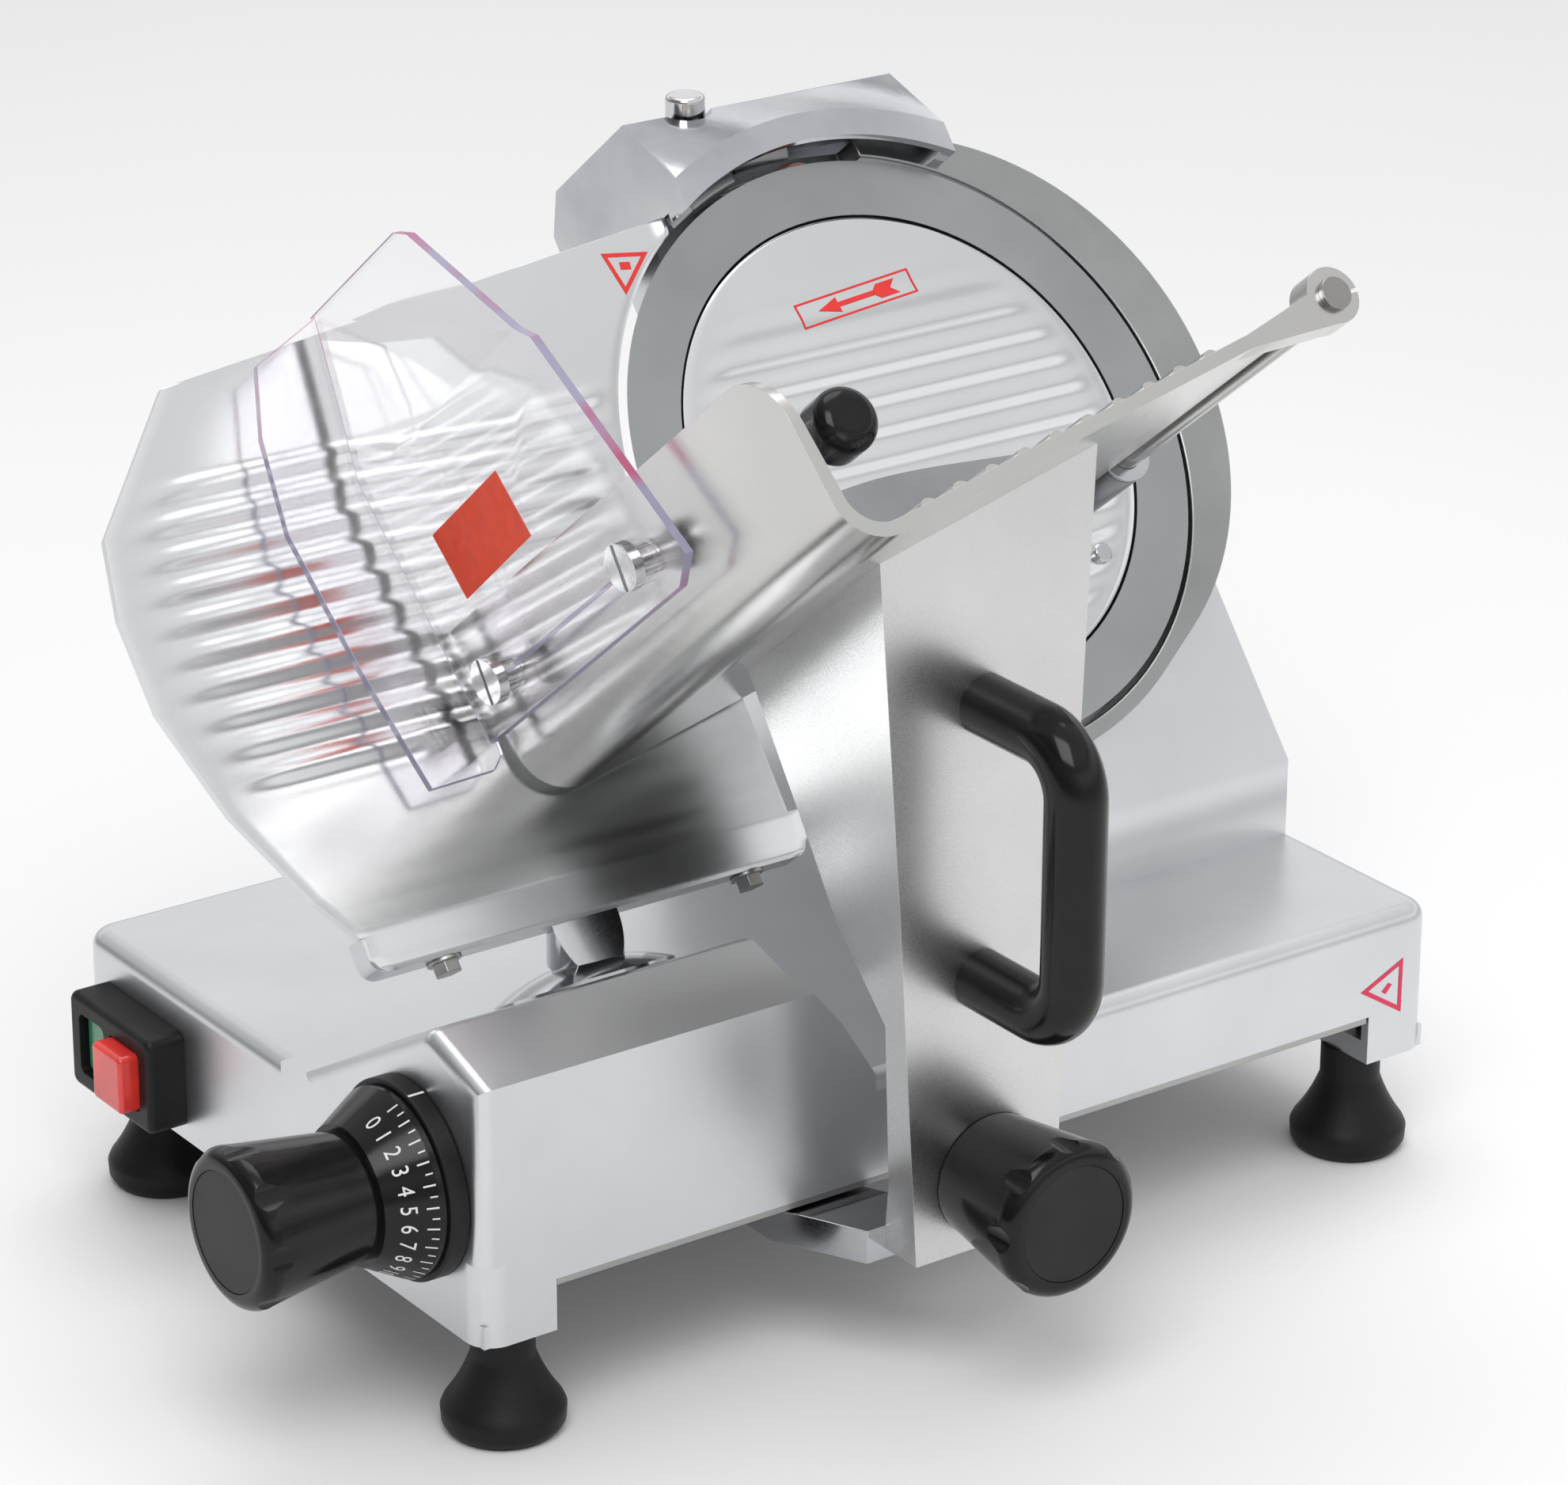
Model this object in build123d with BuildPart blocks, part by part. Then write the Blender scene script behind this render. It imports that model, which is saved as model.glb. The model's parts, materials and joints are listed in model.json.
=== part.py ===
from build123d import *
from math import cos, radians, sin, sqrt, tan
import os

# Gravity-feed deli slicer with a 250 mm blade. Millimetres, +Z up. X runs along the carriage travel,
# Y runs from the operator's side to the back, and the feet stand on Z = 0.

# --- driving dimensions ---------------------------------------------------------------------------
BLADE_R = 125.0
BLADE_TILT = 39.1          # lean of the blade plane back from the vertical, degrees
BLADE_CENTRE = (120.75, 61.6, 274.2)

BASE_W = 448.0
BASE_D = 287.0
BASE_LEFT = -194.25
BASE_FRONT = -107.4
TOP_Z = 107.5
LEG_Z = 45.0
SKIRT_Z = 65.7
WALL = 4.0
LEG_W = 32.0

BUMP_FRONT_Z = 148.0       # front top edge of the raised left part of the base
BUMP_RIDGE = (32.0, 159.0)
BUMP_SLOPE = 30.0          # also the direction in which the gauge plate withdraws
BUMP_W = 141.0
BUMP_TOE = 33.0

POD_LEFT = 265.0           # motor housing, from the base's left face
POD_RIGHT = 443.0
POD_FRONT = 85.5
POD_BEND_Z = 140.0
POD_WALL = 5.0
POD_FACE = 19.6            # its sloping face lies this far behind the blade plane

TRAY_ROLL = 11.5           # the tray's floor rises towards the right by this angle
TRAY_LEAN = 5.0
TRAY_LEN = 252.0
TRAY_GAP = 4.5             # from the gauge plate's face to the tray
TRAY_T = 5.0
WALL_T = 4.0

ARM_Y = -46.0              # front face of the carriage arm, from the base's front face
KNOB_LEN = 50.0
KNOB_R = 30.5

# --- frames ---------------------------------------------------------------------------------------
TILT_S = sin(radians(90 - BLADE_TILT))
TILT_C = cos(radians(90 - BLADE_TILT))
NORMAL = Vector(0, -TILT_S, TILT_C)          # out of the blade, towards the operator
RISE = Vector(0, TILT_C, TILT_S)             # up the blade's face
BLADE = Plane(origin=BLADE_CENTRE, x_dir=(1, 0, 0), z_dir=NORMAL)
RADIAL = Plane(origin=BLADE_CENTRE, x_dir=(1, 0, 0), z_dir=-RISE)
BLADE_AXIS = Axis(BLADE_CENTRE, NORMAL)
SLOPE_S = sin(radians(BUMP_SLOPE))
SLOPE_C = cos(radians(BUMP_SLOPE))
GAUGE_DIR = Vector(0, SLOPE_C, -SLOPE_S)


def at(x, y, z=0.0):
    """A point measured from the base's left face, its front face and the table."""
    return (BASE_LEFT + x, BASE_FRONT + y, z)


def on_blade(u, v, d=0.0):
    """A point measured along X, up the blade's face and out of it, from the blade's centre."""
    return Vector(BLADE_CENTRE) + Vector(1, 0, 0) * u + RISE * v + NORMAL * d


def side_plane(x):
    """A plane facing +X at x from the base's left face; its sketches are in (y, z)."""
    return Plane(origin=at(x, 0, 0), x_dir=(0, 1, 0), z_dir=(1, 0, 0))


def front_plane(y):
    """A plane facing -Y at y from the base's front face; its sketches are in (x, z)."""
    return Plane(origin=at(0, y, 0), x_dir=(1, 0, 0), z_dir=(0, -1, 0))


def save(solid, name):
    solid.label = name
    export_step(solid, "parts/" + name + ".step")


def disc(plane, radius, length, bore=0.0):
    """A plain round, with or without a bore, that rises from a plane."""
    with BuildPart() as piece:
        with BuildSketch(plane):
            Circle(radius)
            if bore:
                Circle(bore, mode=Mode.SUBTRACT)
        extrude(amount=length)
    return piece.part


os.makedirs("parts", exist_ok=True)

# --- base -----------------------------------------------------------------------------------------
FEET = [(22.0, 21.0), (426.0, 21.0), (22.0, 266.0), (426.0, 266.0)]
FOOT_NAMES = ["foot_front_left", "foot_front_right", "foot_back_left", "foot_back_right"]
STUD_R = 4.0
SLOPE_TOP = (BUMP_RIDGE[0] + 6.0, BUMP_RIDGE[1] - 1.6)
SLOPE_END = SLOPE_TOP[0] + (SLOPE_TOP[1] - TOP_Z) / tan(radians(BUMP_SLOPE))
POST_X = 100.0             # the gauge post, and the slot it slides in
POST_Y = 82.0
POST_R = 14.5
GAUGE_TRAVEL = 14.0


BOSS_BACK = -50.6
BEARING_R = 27.5
BEARING_W = 13.0
KNOB_SEAT = -164.0
TIE_ROD_R = 4.0
TIE_ROD_END = 11.0
KNOB_T = 16.0
DIAL_Y = 44.0
DIAL_Z = 98.5
SWITCH_Y = 240.0
SWITCH_Z = 70.5
NECK_R = 10.0
CORD_X = 395.0
CORD_Z = 84.0
POST_POINT = at(POST_X, POST_Y, SLOPE_TOP[1] - (POST_Y - SLOPE_TOP[0]) * tan(radians(BUMP_SLOPE)))
SLOPE_PLANE = Plane(origin=POST_POINT, x_dir=(1, 0, 0), z_dir=(0, SLOPE_S, SLOPE_C))


def bump_outline(drop):
    """Side profile of the raised left part in (y, z), lowered by drop for its inner face."""
    return [(drop, TOP_Z - 30), (drop, BUMP_FRONT_Z - drop), (BUMP_RIDGE[0], BUMP_RIDGE[1] - 1.1 * drop),
            (SLOPE_TOP[0], SLOPE_TOP[1] - drop / SLOPE_C),
            (SLOPE_END - drop * (1 - SLOPE_C) / SLOPE_S, TOP_Z - drop),
            (SLOPE_END + 12, TOP_Z - drop), (SLOPE_END + 12, TOP_Z - 30)]


def section_yz(v, d):
    """The (y, z) position, in a side plane's sketch, of a point on the blade's middle section."""
    return (BLADE_CENTRE[1] - BASE_FRONT + v * TILT_C - d * TILT_S, BLADE_CENTRE[2] + v * TILT_S + d * TILT_C)


def pod_outline(inset, low):
    """Side profile of the motor housing in (y, z) down to low, moved inwards by inset."""
    face = POD_FACE + inset
    front = POD_FRONT + inset
    back = BASE_D - 8 - inset
    bend_v = (front - face * TILT_S - BLADE_CENTRE[1] + BASE_FRONT) / TILT_C
    return [(front, low), section_yz(bend_v, -face), section_yz(62 - inset, -face),
            section_yz(62 - inset, -84 + inset), (back, 165 - inset), (back, low)]


with BuildPart() as base_casting:
    with BuildSketch(Plane.XY.offset(LEG_Z)):
        with Locations((BASE_LEFT + BASE_W / 2, BASE_FRONT + BASE_D / 2)):
            RectangleRounded(BASE_W, BASE_D, 11)
    extrude(amount=TOP_Z - LEG_Z)
    fillet(base_casting.edges().group_by(Axis.Z)[-1], 7)
    with BuildSketch(side_plane(0)) as bump_face:
        with BuildLine():
            Polyline(*bump_outline(0), close=True)
        make_face()
        fillet(bump_face.vertices().filter_by(lambda v: v.Z > BUMP_FRONT_Z + 5), 9)
        fillet(bump_face.vertices().filter_by(lambda v: abs(v.Z - BUMP_FRONT_Z) < 1), 4)
    extrude(amount=BUMP_W + BUMP_TOE)
    with BuildSketch(front_plane(-1)):
        with BuildLine():
            Polyline((BUMP_W - 3, 175), (BUMP_W + 1, 152), (BUMP_W + 17, 133), (BUMP_W + BUMP_TOE, TOP_Z),
                     (BUMP_W + BUMP_TOE + 9, TOP_Z), (BUMP_W + BUMP_TOE + 9, 175), close=True)
        make_face()
    extrude(amount=-SLOPE_END - 16, mode=Mode.SUBTRACT)
    bump_left = base_casting.edges().filter_by(lambda e: abs(e.center().X - BASE_LEFT) < 0.01)
    fillet(bump_left.filter_by(lambda e: e.center().Z > TOP_Z + 1), 6)
    # inner cavities
    with BuildSketch(Plane.XY.offset(LEG_Z - 1)):
        with Locations((BASE_LEFT + BASE_W / 2, BASE_FRONT + BASE_D / 2)):
            RectangleRounded(BASE_W - 2 * WALL, BASE_D - 2 * WALL, 7)
    extrude(amount=TOP_Z - WALL - LEG_Z + 1, mode=Mode.SUBTRACT)
    with BuildSketch(side_plane(WALL)):
        with BuildLine():
            Polyline(*bump_outline(WALL), close=True)
        make_face()
    extrude(amount=BUMP_W - 10, mode=Mode.SUBTRACT)
    with BuildSketch(Plane.XY.offset(TOP_Z - WALL - 1)):
        with Locations(at((POD_LEFT + POD_RIGHT) / 2, (POD_FRONT + BASE_D - 8) / 2)[:2]):
            Rectangle(POD_RIGHT - POD_LEFT - 2 * POD_WALL, BASE_D - 8 - POD_FRONT - 2 * POD_WALL)
    extrude(amount=WALL + 2, mode=Mode.SUBTRACT)
    # the skirts stop short of the legs, in front and behind
    with BuildSketch(front_plane(-1)):
        with Locations((BASE_W / 2, SKIRT_Z / 2)):
            Rectangle(BASE_W - 2 * LEG_W, SKIRT_Z)
    extrude(amount=-BASE_D - 2, mode=Mode.SUBTRACT)
    # a floor in each leg for its foot
    for foot_x, foot_y in FEET:
        floor_x = 17 if foot_x < BASE_W / 2 else BASE_W - 17
        floor_y = 19 if foot_y < BASE_D / 2 else BASE_D - 19
        with BuildSketch(Plane.XY.offset(LEG_Z)):
            with Locations(at(floor_x, floor_y)[:2]):
                Rectangle(30, 34)
        extrude(amount=9)
        with BuildSketch(Plane.XY.offset(LEG_Z)):
            with Locations(at(foot_x, foot_y)[:2]):
                Circle(STUD_R)
        extrude(amount=9, mode=Mode.SUBTRACT)
    # ways through for the index shaft, the gauge neck, the switch and the cord
    with BuildSketch(side_plane(-1)):
        with Locations((DIAL_Y, DIAL_Z)):
            Circle(10)
        with Locations((SWITCH_Y, SWITCH_Z)):
            Rectangle(50, 26)
    extrude(amount=WALL + 2, mode=Mode.SUBTRACT)
    with BuildSketch(SLOPE_PLANE.offset(-9)):
        with Locations((0, (GAUGE_TRAVEL + 3) / 2)):
            SlotOverall(2 * (NECK_R / SLOPE_C + 1) + GAUGE_TRAVEL + 3, 2 * NECK_R + 2, rotation=90)
    extrude(amount=14, mode=Mode.SUBTRACT)
    with BuildSketch(front_plane(BASE_D + 1)):
        with Locations((CORD_X, CORD_Z)):
            Circle(8)
    extrude(amount=WALL + 2, mode=Mode.SUBTRACT)
save(base_casting.part, "base_casting")

# --- motor housing, which stands on the base and is open to it below ------------------------------
with BuildPart() as motor_housing:
    with BuildSketch(side_plane(POD_LEFT)) as pod_face:
        with BuildLine():
            Polyline(*pod_outline(0, TOP_Z), close=True)
        make_face()
        fillet(pod_face.vertices().filter_by(lambda v: v.Z > POD_BEND_Z + 20), 22)
        fillet(pod_face.vertices().filter_by(lambda v: abs(v.Z - POD_BEND_Z) < 6), 10)
    extrude(amount=POD_RIGHT - POD_LEFT)
    with BuildSketch(side_plane(POD_LEFT + POD_WALL)) as pod_inner:
        with BuildLine():
            Polyline(*pod_outline(POD_WALL, TOP_Z - 1), close=True)
        make_face()
        fillet(pod_inner.vertices().filter_by(lambda v: v.Z > POD_BEND_Z + 20), 17)
    extrude(amount=POD_RIGHT - POD_LEFT - 2 * POD_WALL, mode=Mode.SUBTRACT)
    # a hollow neck from the housing up into the sharpener's hood
    with BuildSketch(BLADE.offset(-80)):
        with Locations((-5, 100)):
            Rectangle(80, 76)
    extrude(amount=30)
    with BuildSketch(BLADE.offset(-75)):
        with Locations((-5, 94)):
            Rectangle(70, 82)
    extrude(amount=20, mode=Mode.SUBTRACT)
    # bearing boss, its bore and the shaft's way out to the blade
    with BuildSketch(BLADE.offset(BOSS_BACK)):
        Circle(34)
    extrude(amount=-POD_FACE - 2 - BOSS_BACK)
    with BuildSketch(BLADE.offset(BOSS_BACK)):
        Circle(BEARING_R)
    extrude(amount=2 * BEARING_W, mode=Mode.SUBTRACT)
    with BuildSketch(BLADE.offset(BOSS_BACK)):
        Circle(21)
    extrude(amount=-POD_FACE + 1 - BOSS_BACK, mode=Mode.SUBTRACT)
    # seat of the blade cover's knob on the back wall
    with BuildSketch(BLADE.offset(KNOB_SEAT)):
        Circle(15)
    extrude(amount=30)
    with BuildSketch(BLADE.offset(KNOB_SEAT - 1)):
        Circle(TIE_ROD_R)
    extrude(amount=50, mode=Mode.SUBTRACT)
save(motor_housing.part, "motor_housing")

# --- bottom plate and feet ------------------------------------------------------------------------
PLATE_Z = SKIRT_Z - 3
with BuildPart() as bottom_plate:
    with BuildSketch(Plane.XY.offset(PLATE_Z)):
        with Locations(at(BASE_W / 2, BASE_D / 2)[:2]):
            Rectangle(BASE_W - 2 * LEG_W - 1, BASE_D - 1)
    extrude(amount=3)
save(bottom_plate.part, "bottom_plate")

for foot_name, (foot_x, foot_y) in zip(FOOT_NAMES, FEET):
    with BuildPart() as foot:
        with BuildSketch(Plane(origin=at(foot_x, foot_y), x_dir=(1, 0, 0), z_dir=(0, -1, 0))):
            with BuildLine():
                Polyline((0, 0), (20, 0), (21.5, 1.5), (23, 4), (23.3, 9), (22.2, 11.5))
                ThreePointArc((22.2, 11.5), (16.5, 20.5), (12, 31))
                Polyline((12, 31), (12, LEG_Z), (0, LEG_Z), (0, 0))
            make_face()
        revolve(axis=Axis(at(foot_x, foot_y), (0, 0, 1)))
        with BuildSketch(Plane.XY.offset(14)):
            with Locations(at(foot_x, foot_y)[:2]):
                Circle(STUD_R)
        extrude(amount=40, mode=Mode.SUBTRACT)
    save(foot.part, foot_name)

with BuildPart() as foot_studs:
    for foot_x, foot_y in FEET:
        with BuildSketch(Plane.XY.offset(14)):
            with Locations(at(foot_x, foot_y)[:2]):
                Circle(STUD_R)
        extrude(amount=LEG_Z + 9 - 14)
        with BuildSketch(Plane.XY.offset(LEG_Z + 9)):
            with Locations(at(foot_x, foot_y)[:2]):
                RegularPolygon(8, 6)
        extrude(amount=6)
save(foot_studs.part, "foot_studs")

# --- blade and its drive --------------------------------------------------------------------------
SHAFT_R = 15.0
SHAFT_BORE = 7.0
RUNNING = 0.05
HUB_R = 40.0
COVER_R = 101.0
MOTOR_V = -105.0
PULLEY_R = 36.0
MOTOR_PULLEY_R = 12.0
PULLEY_BACK = -68.0
BELT_GAP = 0.4
BELT_T = 3.0
SCREW_PCR = 31.0


def motor_plane(d):
    """A plane across the motor's axis."""
    return Plane(origin=on_blade(0, MOTOR_V, d), x_dir=(1, 0, 0), z_dir=NORMAL)


with BuildPart() as blade:
    with BuildSketch(RADIAL):
        with BuildLine():
            Polyline((20, -12), (104, -12), (108, -8), (BLADE_R, -0.5), (BLADE_R, 0), (COVER_R + 0.8, -0.8),
                     (COVER_R + 0.8, -6), (98, -8), (20, -8), close=True)
        make_face()
    revolve(axis=BLADE_AXIS)
    with BuildSketch(BLADE.offset(-13)):
        with PolarLocations(SCREW_PCR, 4, start_angle=45):
            Circle(2.5)
    extrude(amount=6, mode=Mode.SUBTRACT)
save(blade.part, "blade")

with BuildPart() as blade_shaft:
    with BuildSketch(BLADE.offset(-70)):
        Circle(SHAFT_R)
    extrude(amount=52)
    with BuildSketch(BLADE.offset(-18.6)):
        Circle(HUB_R)
    extrude(amount=6.6)
    with BuildSketch(BLADE.offset(-12)):
        Circle(20)
    extrude(amount=4)
    with BuildSketch(BLADE.offset(-71)):
        Circle(SHAFT_BORE)
    extrude(amount=64, mode=Mode.SUBTRACT)
    with BuildSketch(BLADE.offset(-17)):
        with PolarLocations(SCREW_PCR, 4, start_angle=45):
            Circle(2.5)
    extrude(amount=6, mode=Mode.SUBTRACT)
save(blade_shaft.part, "blade_shaft")

with BuildPart() as blade_screws:
    with BuildSketch(BLADE.offset(-17)):
        with PolarLocations(SCREW_PCR, 4, start_angle=45):
            Circle(2.5)
    extrude(amount=9)
    with BuildSketch(BLADE.offset(-8)):
        with PolarLocations(SCREW_PCR, 4, start_angle=45):
            Circle(5)
    extrude(amount=2.2)
save(blade_screws.part, "blade_screws")

save(disc(BLADE.offset(PULLEY_BACK), PULLEY_R, 14, SHAFT_R), "blade_pulley")

with BuildPart() as bearings:
    add(disc(BLADE.offset(BOSS_BACK), BEARING_R, BEARING_W - 0.5, SHAFT_R + RUNNING))
    add(disc(BLADE.offset(BOSS_BACK + BEARING_W + 0.5), BEARING_R, BEARING_W - 0.5, SHAFT_R + RUNNING))
save(bearings.part, "bearings")

with BuildPart() as drive_belt:
    with BuildSketch(BLADE.offset(PULLEY_BACK + 1)):
        Circle(PULLEY_R + BELT_GAP + BELT_T)
        with Locations((0, MOTOR_V)):
            Circle(MOTOR_PULLEY_R + BELT_GAP + BELT_T)
        make_hull()
    extrude(amount=12)
    with BuildSketch(BLADE.offset(PULLEY_BACK + 1)):
        Circle(PULLEY_R + BELT_GAP)
        with Locations((0, MOTOR_V)):
            Circle(MOTOR_PULLEY_R + BELT_GAP)
        make_hull()
    extrude(amount=12, mode=Mode.SUBTRACT)
save(drive_belt.part, "drive_belt")

with BuildPart() as motor_pulley:
    with BuildSketch(motor_plane(PULLEY_BACK)):
        Circle(MOTOR_PULLEY_R)
    extrude(amount=14)
    with BuildSketch(motor_plane(-96)):
        Circle(6)
    extrude(amount=46)
save(motor_pulley.part, "motor_pulley")

with BuildPart() as motor_plate:
    with BuildSketch(BLADE.offset(-76)):
        with Locations(((POD_RIGHT + POD_LEFT) / 2 - BLADE_CENTRE[0] + BASE_LEFT, -65)):
            Rectangle(POD_RIGHT - POD_LEFT - 2 * WALL - 2, 170)
        Circle(9, mode=Mode.SUBTRACT)
        with Locations((0, MOTOR_V)):
            Circle(20, mode=Mode.SUBTRACT)
    extrude(amount=4)
save(motor_plate.part, "motor_plate")

with BuildPart() as motor_body:
    with BuildSketch(motor_plane(-146)):
        Circle(42)
    extrude(amount=70)
    fillet(motor_body.edges().filter_by(GeomType.CIRCLE).sort_by_distance(on_blade(0, MOTOR_V, -146))[0], 8)
    with BuildSketch(motor_plane(-76)):
        Circle(19)
    extrude(amount=5)
    with BuildSketch(motor_plane(-97)):
        Circle(6 + RUNNING)
    extrude(amount=30, mode=Mode.SUBTRACT)
save(motor_body.part, "motor_body")

# --- blade cover, held by a rod through the hollow shaft ------------------------------------------
PEG_UV = (65.0, -59.5)
COVER_RIBS = 11
COVER_PITCH = 12.5
with BuildPart() as blade_cover:
    with BuildSketch(RADIAL):
        with BuildLine():
            Polyline((0, -4), (COVER_R, -4), (COVER_R, -1.4), (COVER_R - 0.8, -0.6), (0, -0.6), close=True)
        make_face()
    revolve(axis=BLADE_AXIS)
    with BuildSketch(BLADE.offset(-7.5)):
        Circle(9)
    extrude(amount=4)
    with BuildSketch(BLADE.offset(-0.7)):
        for rib in range(COVER_RIBS):
            rib_v = 43.75 - COVER_PITCH * rib
            with Locations((0, rib_v)):
                SlotOverall(2 * sqrt((COVER_R - 5) ** 2 - rib_v ** 2), 3.0)
    extrude(amount=1.0)
    with BuildSketch(BLADE.offset(-0.6)):
        with Locations(PEG_UV):
            Circle(4.2)
    extrude(amount=2, mode=Mode.SUBTRACT)
save(blade_cover.part, "blade_cover")

with BuildPart() as cover_peg:
    with BuildSketch(BLADE.offset(-0.6)):
        with Locations(PEG_UV):
            Circle(4.2)
    extrude(amount=3.8)
    chamfer(cover_peg.edges().group_by(Axis(BLADE_CENTRE, NORMAL))[-1], 0.8)
save(cover_peg.part, "cover_peg")

with BuildPart() as cover_tie_rod:
    with BuildSketch(BLADE.offset(KNOB_SEAT - TIE_ROD_END)):
        Circle(TIE_ROD_R)
    extrude(amount=TIE_ROD_END - KNOB_SEAT - 7.5)
save(cover_tie_rod.part, "cover_tie_rod")

with BuildPart() as cover_knob:
    with BuildSketch(BLADE.offset(KNOB_SEAT - KNOB_T)):
        Circle(16)
    extrude(amount=KNOB_T)
    fillet(cover_knob.edges().group_by(Axis(BLADE_CENTRE, NORMAL))[0], 4)
    with BuildSketch(BLADE.offset(KNOB_SEAT - KNOB_T)):
        with PolarLocations(19, 8):
            Circle(5)
    extrude(amount=KNOB_T - 3, mode=Mode.SUBTRACT)
    with BuildSketch(BLADE.offset(KNOB_SEAT - TIE_ROD_END)):
        Circle(TIE_ROD_R)
    extrude(amount=TIE_ROD_END, mode=Mode.SUBTRACT)
save(cover_knob.part, "cover_knob")

# --- guard ring behind the blade's edge, open where the slices leave ------------------------------
RING_R = 134.0
RING_BORE = 127.5
RING_SHIFT = (27.0, 7.0)
RING_SHIFT_R = 125.0
RING_OPEN = (115.0, 235.0)

with BuildPart() as guard_ring:
    with BuildSketch(BLADE.offset(-POD_FACE)):
        Circle(RING_R)
        with Locations(RING_SHIFT):
            Circle(RING_SHIFT_R)
        make_hull()
    extrude(amount=POD_FACE - 1)
    with BuildSketch(BLADE.offset(-POD_FACE - 1)):
        Circle(RING_BORE)
    extrude(amount=POD_FACE + 1, mode=Mode.SUBTRACT)
    with BuildSketch(BLADE.offset(-POD_FACE - 1)):
        with BuildLine():
            far = [(260 * cos(radians(a)), 260 * sin(radians(a))) for a in (RING_OPEN[0], 175, RING_OPEN[1])]
            Polyline((0, 0), *far, close=True)
        make_face()
    extrude(amount=POD_FACE + 1, mode=Mode.SUBTRACT)
    with BuildSketch(BLADE.offset(-15)):
        with Locations((0, RING_R)):
            Rectangle(60, 26)
    extrude(amount=16, mode=Mode.SUBTRACT)
save(guard_ring.part, "guard_ring")

# --- sharpener: cover, bracket, stone and its plunger ---------------------------------------------
HOOD_LEFT = -66.0
HOOD_RIGHT = 65.0
HOOD_SKIRT_R = 130.5
HOOD_EDGE_R = 142.0
HOOD_TOP_V = 158.5
HOOD_BACK = -84.0
HOOD_T = 4.0
BUTTON_R = 8.0
BUTTON_TOP = 399.0
BUTTON_BOSS_Z = 364.0
BUTTON_POINT = at(281, 278, BUTTON_BOSS_Z - 4.4)


def hood_section(top, side, front):
    """The hood's block: an arched front edge that rises to a straight ridge, and a boxy back."""
    with BuildPart() as block:
        with BuildSketch(BLADE.offset(front)):
            with BuildLine():
                arc_r = HOOD_EDGE_R - side
                left_v = sqrt(arc_r ** 2 - (HOOD_LEFT + side) ** 2)
                right_v = sqrt(arc_r ** 2 - (HOOD_RIGHT - side) ** 2)
                Polyline((HOOD_RIGHT - side, right_v), (HOOD_RIGHT - side, 100), (HOOD_LEFT + side, 100),
                         (HOOD_LEFT + side, left_v))
                ThreePointArc((HOOD_LEFT + side, left_v), (0, arc_r), (HOOD_RIGHT - side, right_v))
            make_face()
        with BuildSketch(BLADE.offset(-8)):
            with BuildLine():
                Polyline((HOOD_RIGHT - side, top), (HOOD_RIGHT - side, 100), (HOOD_LEFT + side, 100),
                         (HOOD_LEFT + side, top - 0.001))
                ThreePointArc((HOOD_LEFT + side, top - 0.001), (0, top + 0.6), (HOOD_RIGHT - side, top))
            make_face()
        loft(ruled=True)
    return block.part


with BuildPart() as hood_cavity:
    add(hood_section(HOOD_TOP_V - HOOD_T - 1, HOOD_T, 13 - HOOD_T))
    with BuildSketch(BLADE.offset(-8)):
        with Locations(((HOOD_LEFT + HOOD_RIGHT) / 2, (98 + HOOD_TOP_V - HOOD_T) / 2)):
            Rectangle(HOOD_RIGHT - HOOD_LEFT - 2 * HOOD_T, HOOD_TOP_V - HOOD_T - 98)
    extrude(amount=HOOD_BACK + 8 + HOOD_T)
    back_edge = on_blade(0, HOOD_TOP_V - HOOD_T, HOOD_BACK + HOOD_T)
    chamfer(hood_cavity.edges().filter_by(Axis.X).sort_by_distance(back_edge)[0], 12)

with BuildPart() as sharpener_cover:
    add(hood_section(HOOD_TOP_V - 0.6, 0, 13))
    with BuildSketch(BLADE.offset(-8)):
        with Locations(((HOOD_LEFT + HOOD_RIGHT) / 2, (100 + HOOD_TOP_V) / 2)):
            Rectangle(HOOD_RIGHT - HOOD_LEFT, HOOD_TOP_V - 100)
    extrude(amount=HOOD_BACK + 8)
    chamfer(sharpener_cover.edges().filter_by(Axis.X).sort_by_distance(on_blade(0, HOOD_TOP_V, HOOD_BACK))[0], 14)
    add(hood_cavity.part, mode=Mode.SUBTRACT)
    with BuildSketch(BLADE.offset(HOOD_BACK - 1)):
        Circle(HOOD_SKIRT_R)
    extrude(amount=120, mode=Mode.SUBTRACT)
    with BuildSketch(BLADE.offset(-POD_FACE)):
        Circle(RING_R)
        with Locations(RING_SHIFT):
            Circle(RING_SHIFT_R)
        make_hull()
    extrude(amount=POD_FACE - 1, mode=Mode.SUBTRACT)
    # guide boss and hole of the plunger
    with BuildSketch(Plane.XY.offset(BUTTON_BOSS_Z)):
        with Locations(BUTTON_POINT[:2]):
            Circle(13)
    extrude(amount=10)
    with BuildSketch(Plane.XY.offset(BUTTON_BOSS_Z - 1)):
        with Locations(BUTTON_POINT[:2]):
            Circle(BUTTON_R + RUNNING)
    extrude(amount=60, mode=Mode.SUBTRACT)
    with BuildSketch(Plane.XY.offset(BUTTON_BOSS_Z + 8)):
        with Locations(BUTTON_POINT[:2]):
            Circle(BUTTON_R + 2.8)
    extrude(amount=40, mode=Mode.SUBTRACT)
save(sharpener_cover.part, "sharpener_cover")

STONE_ANGLE = 24.0
STONE_POINT = on_blade(0, 117.5, -5.2)
STONE_AXIS = RISE * sin(radians(STONE_ANGLE)) - NORMAL * cos(radians(STONE_ANGLE))
STONE_PLANE = Plane(origin=STONE_POINT, x_dir=(1, 0, 0), z_dir=STONE_AXIS)

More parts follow.
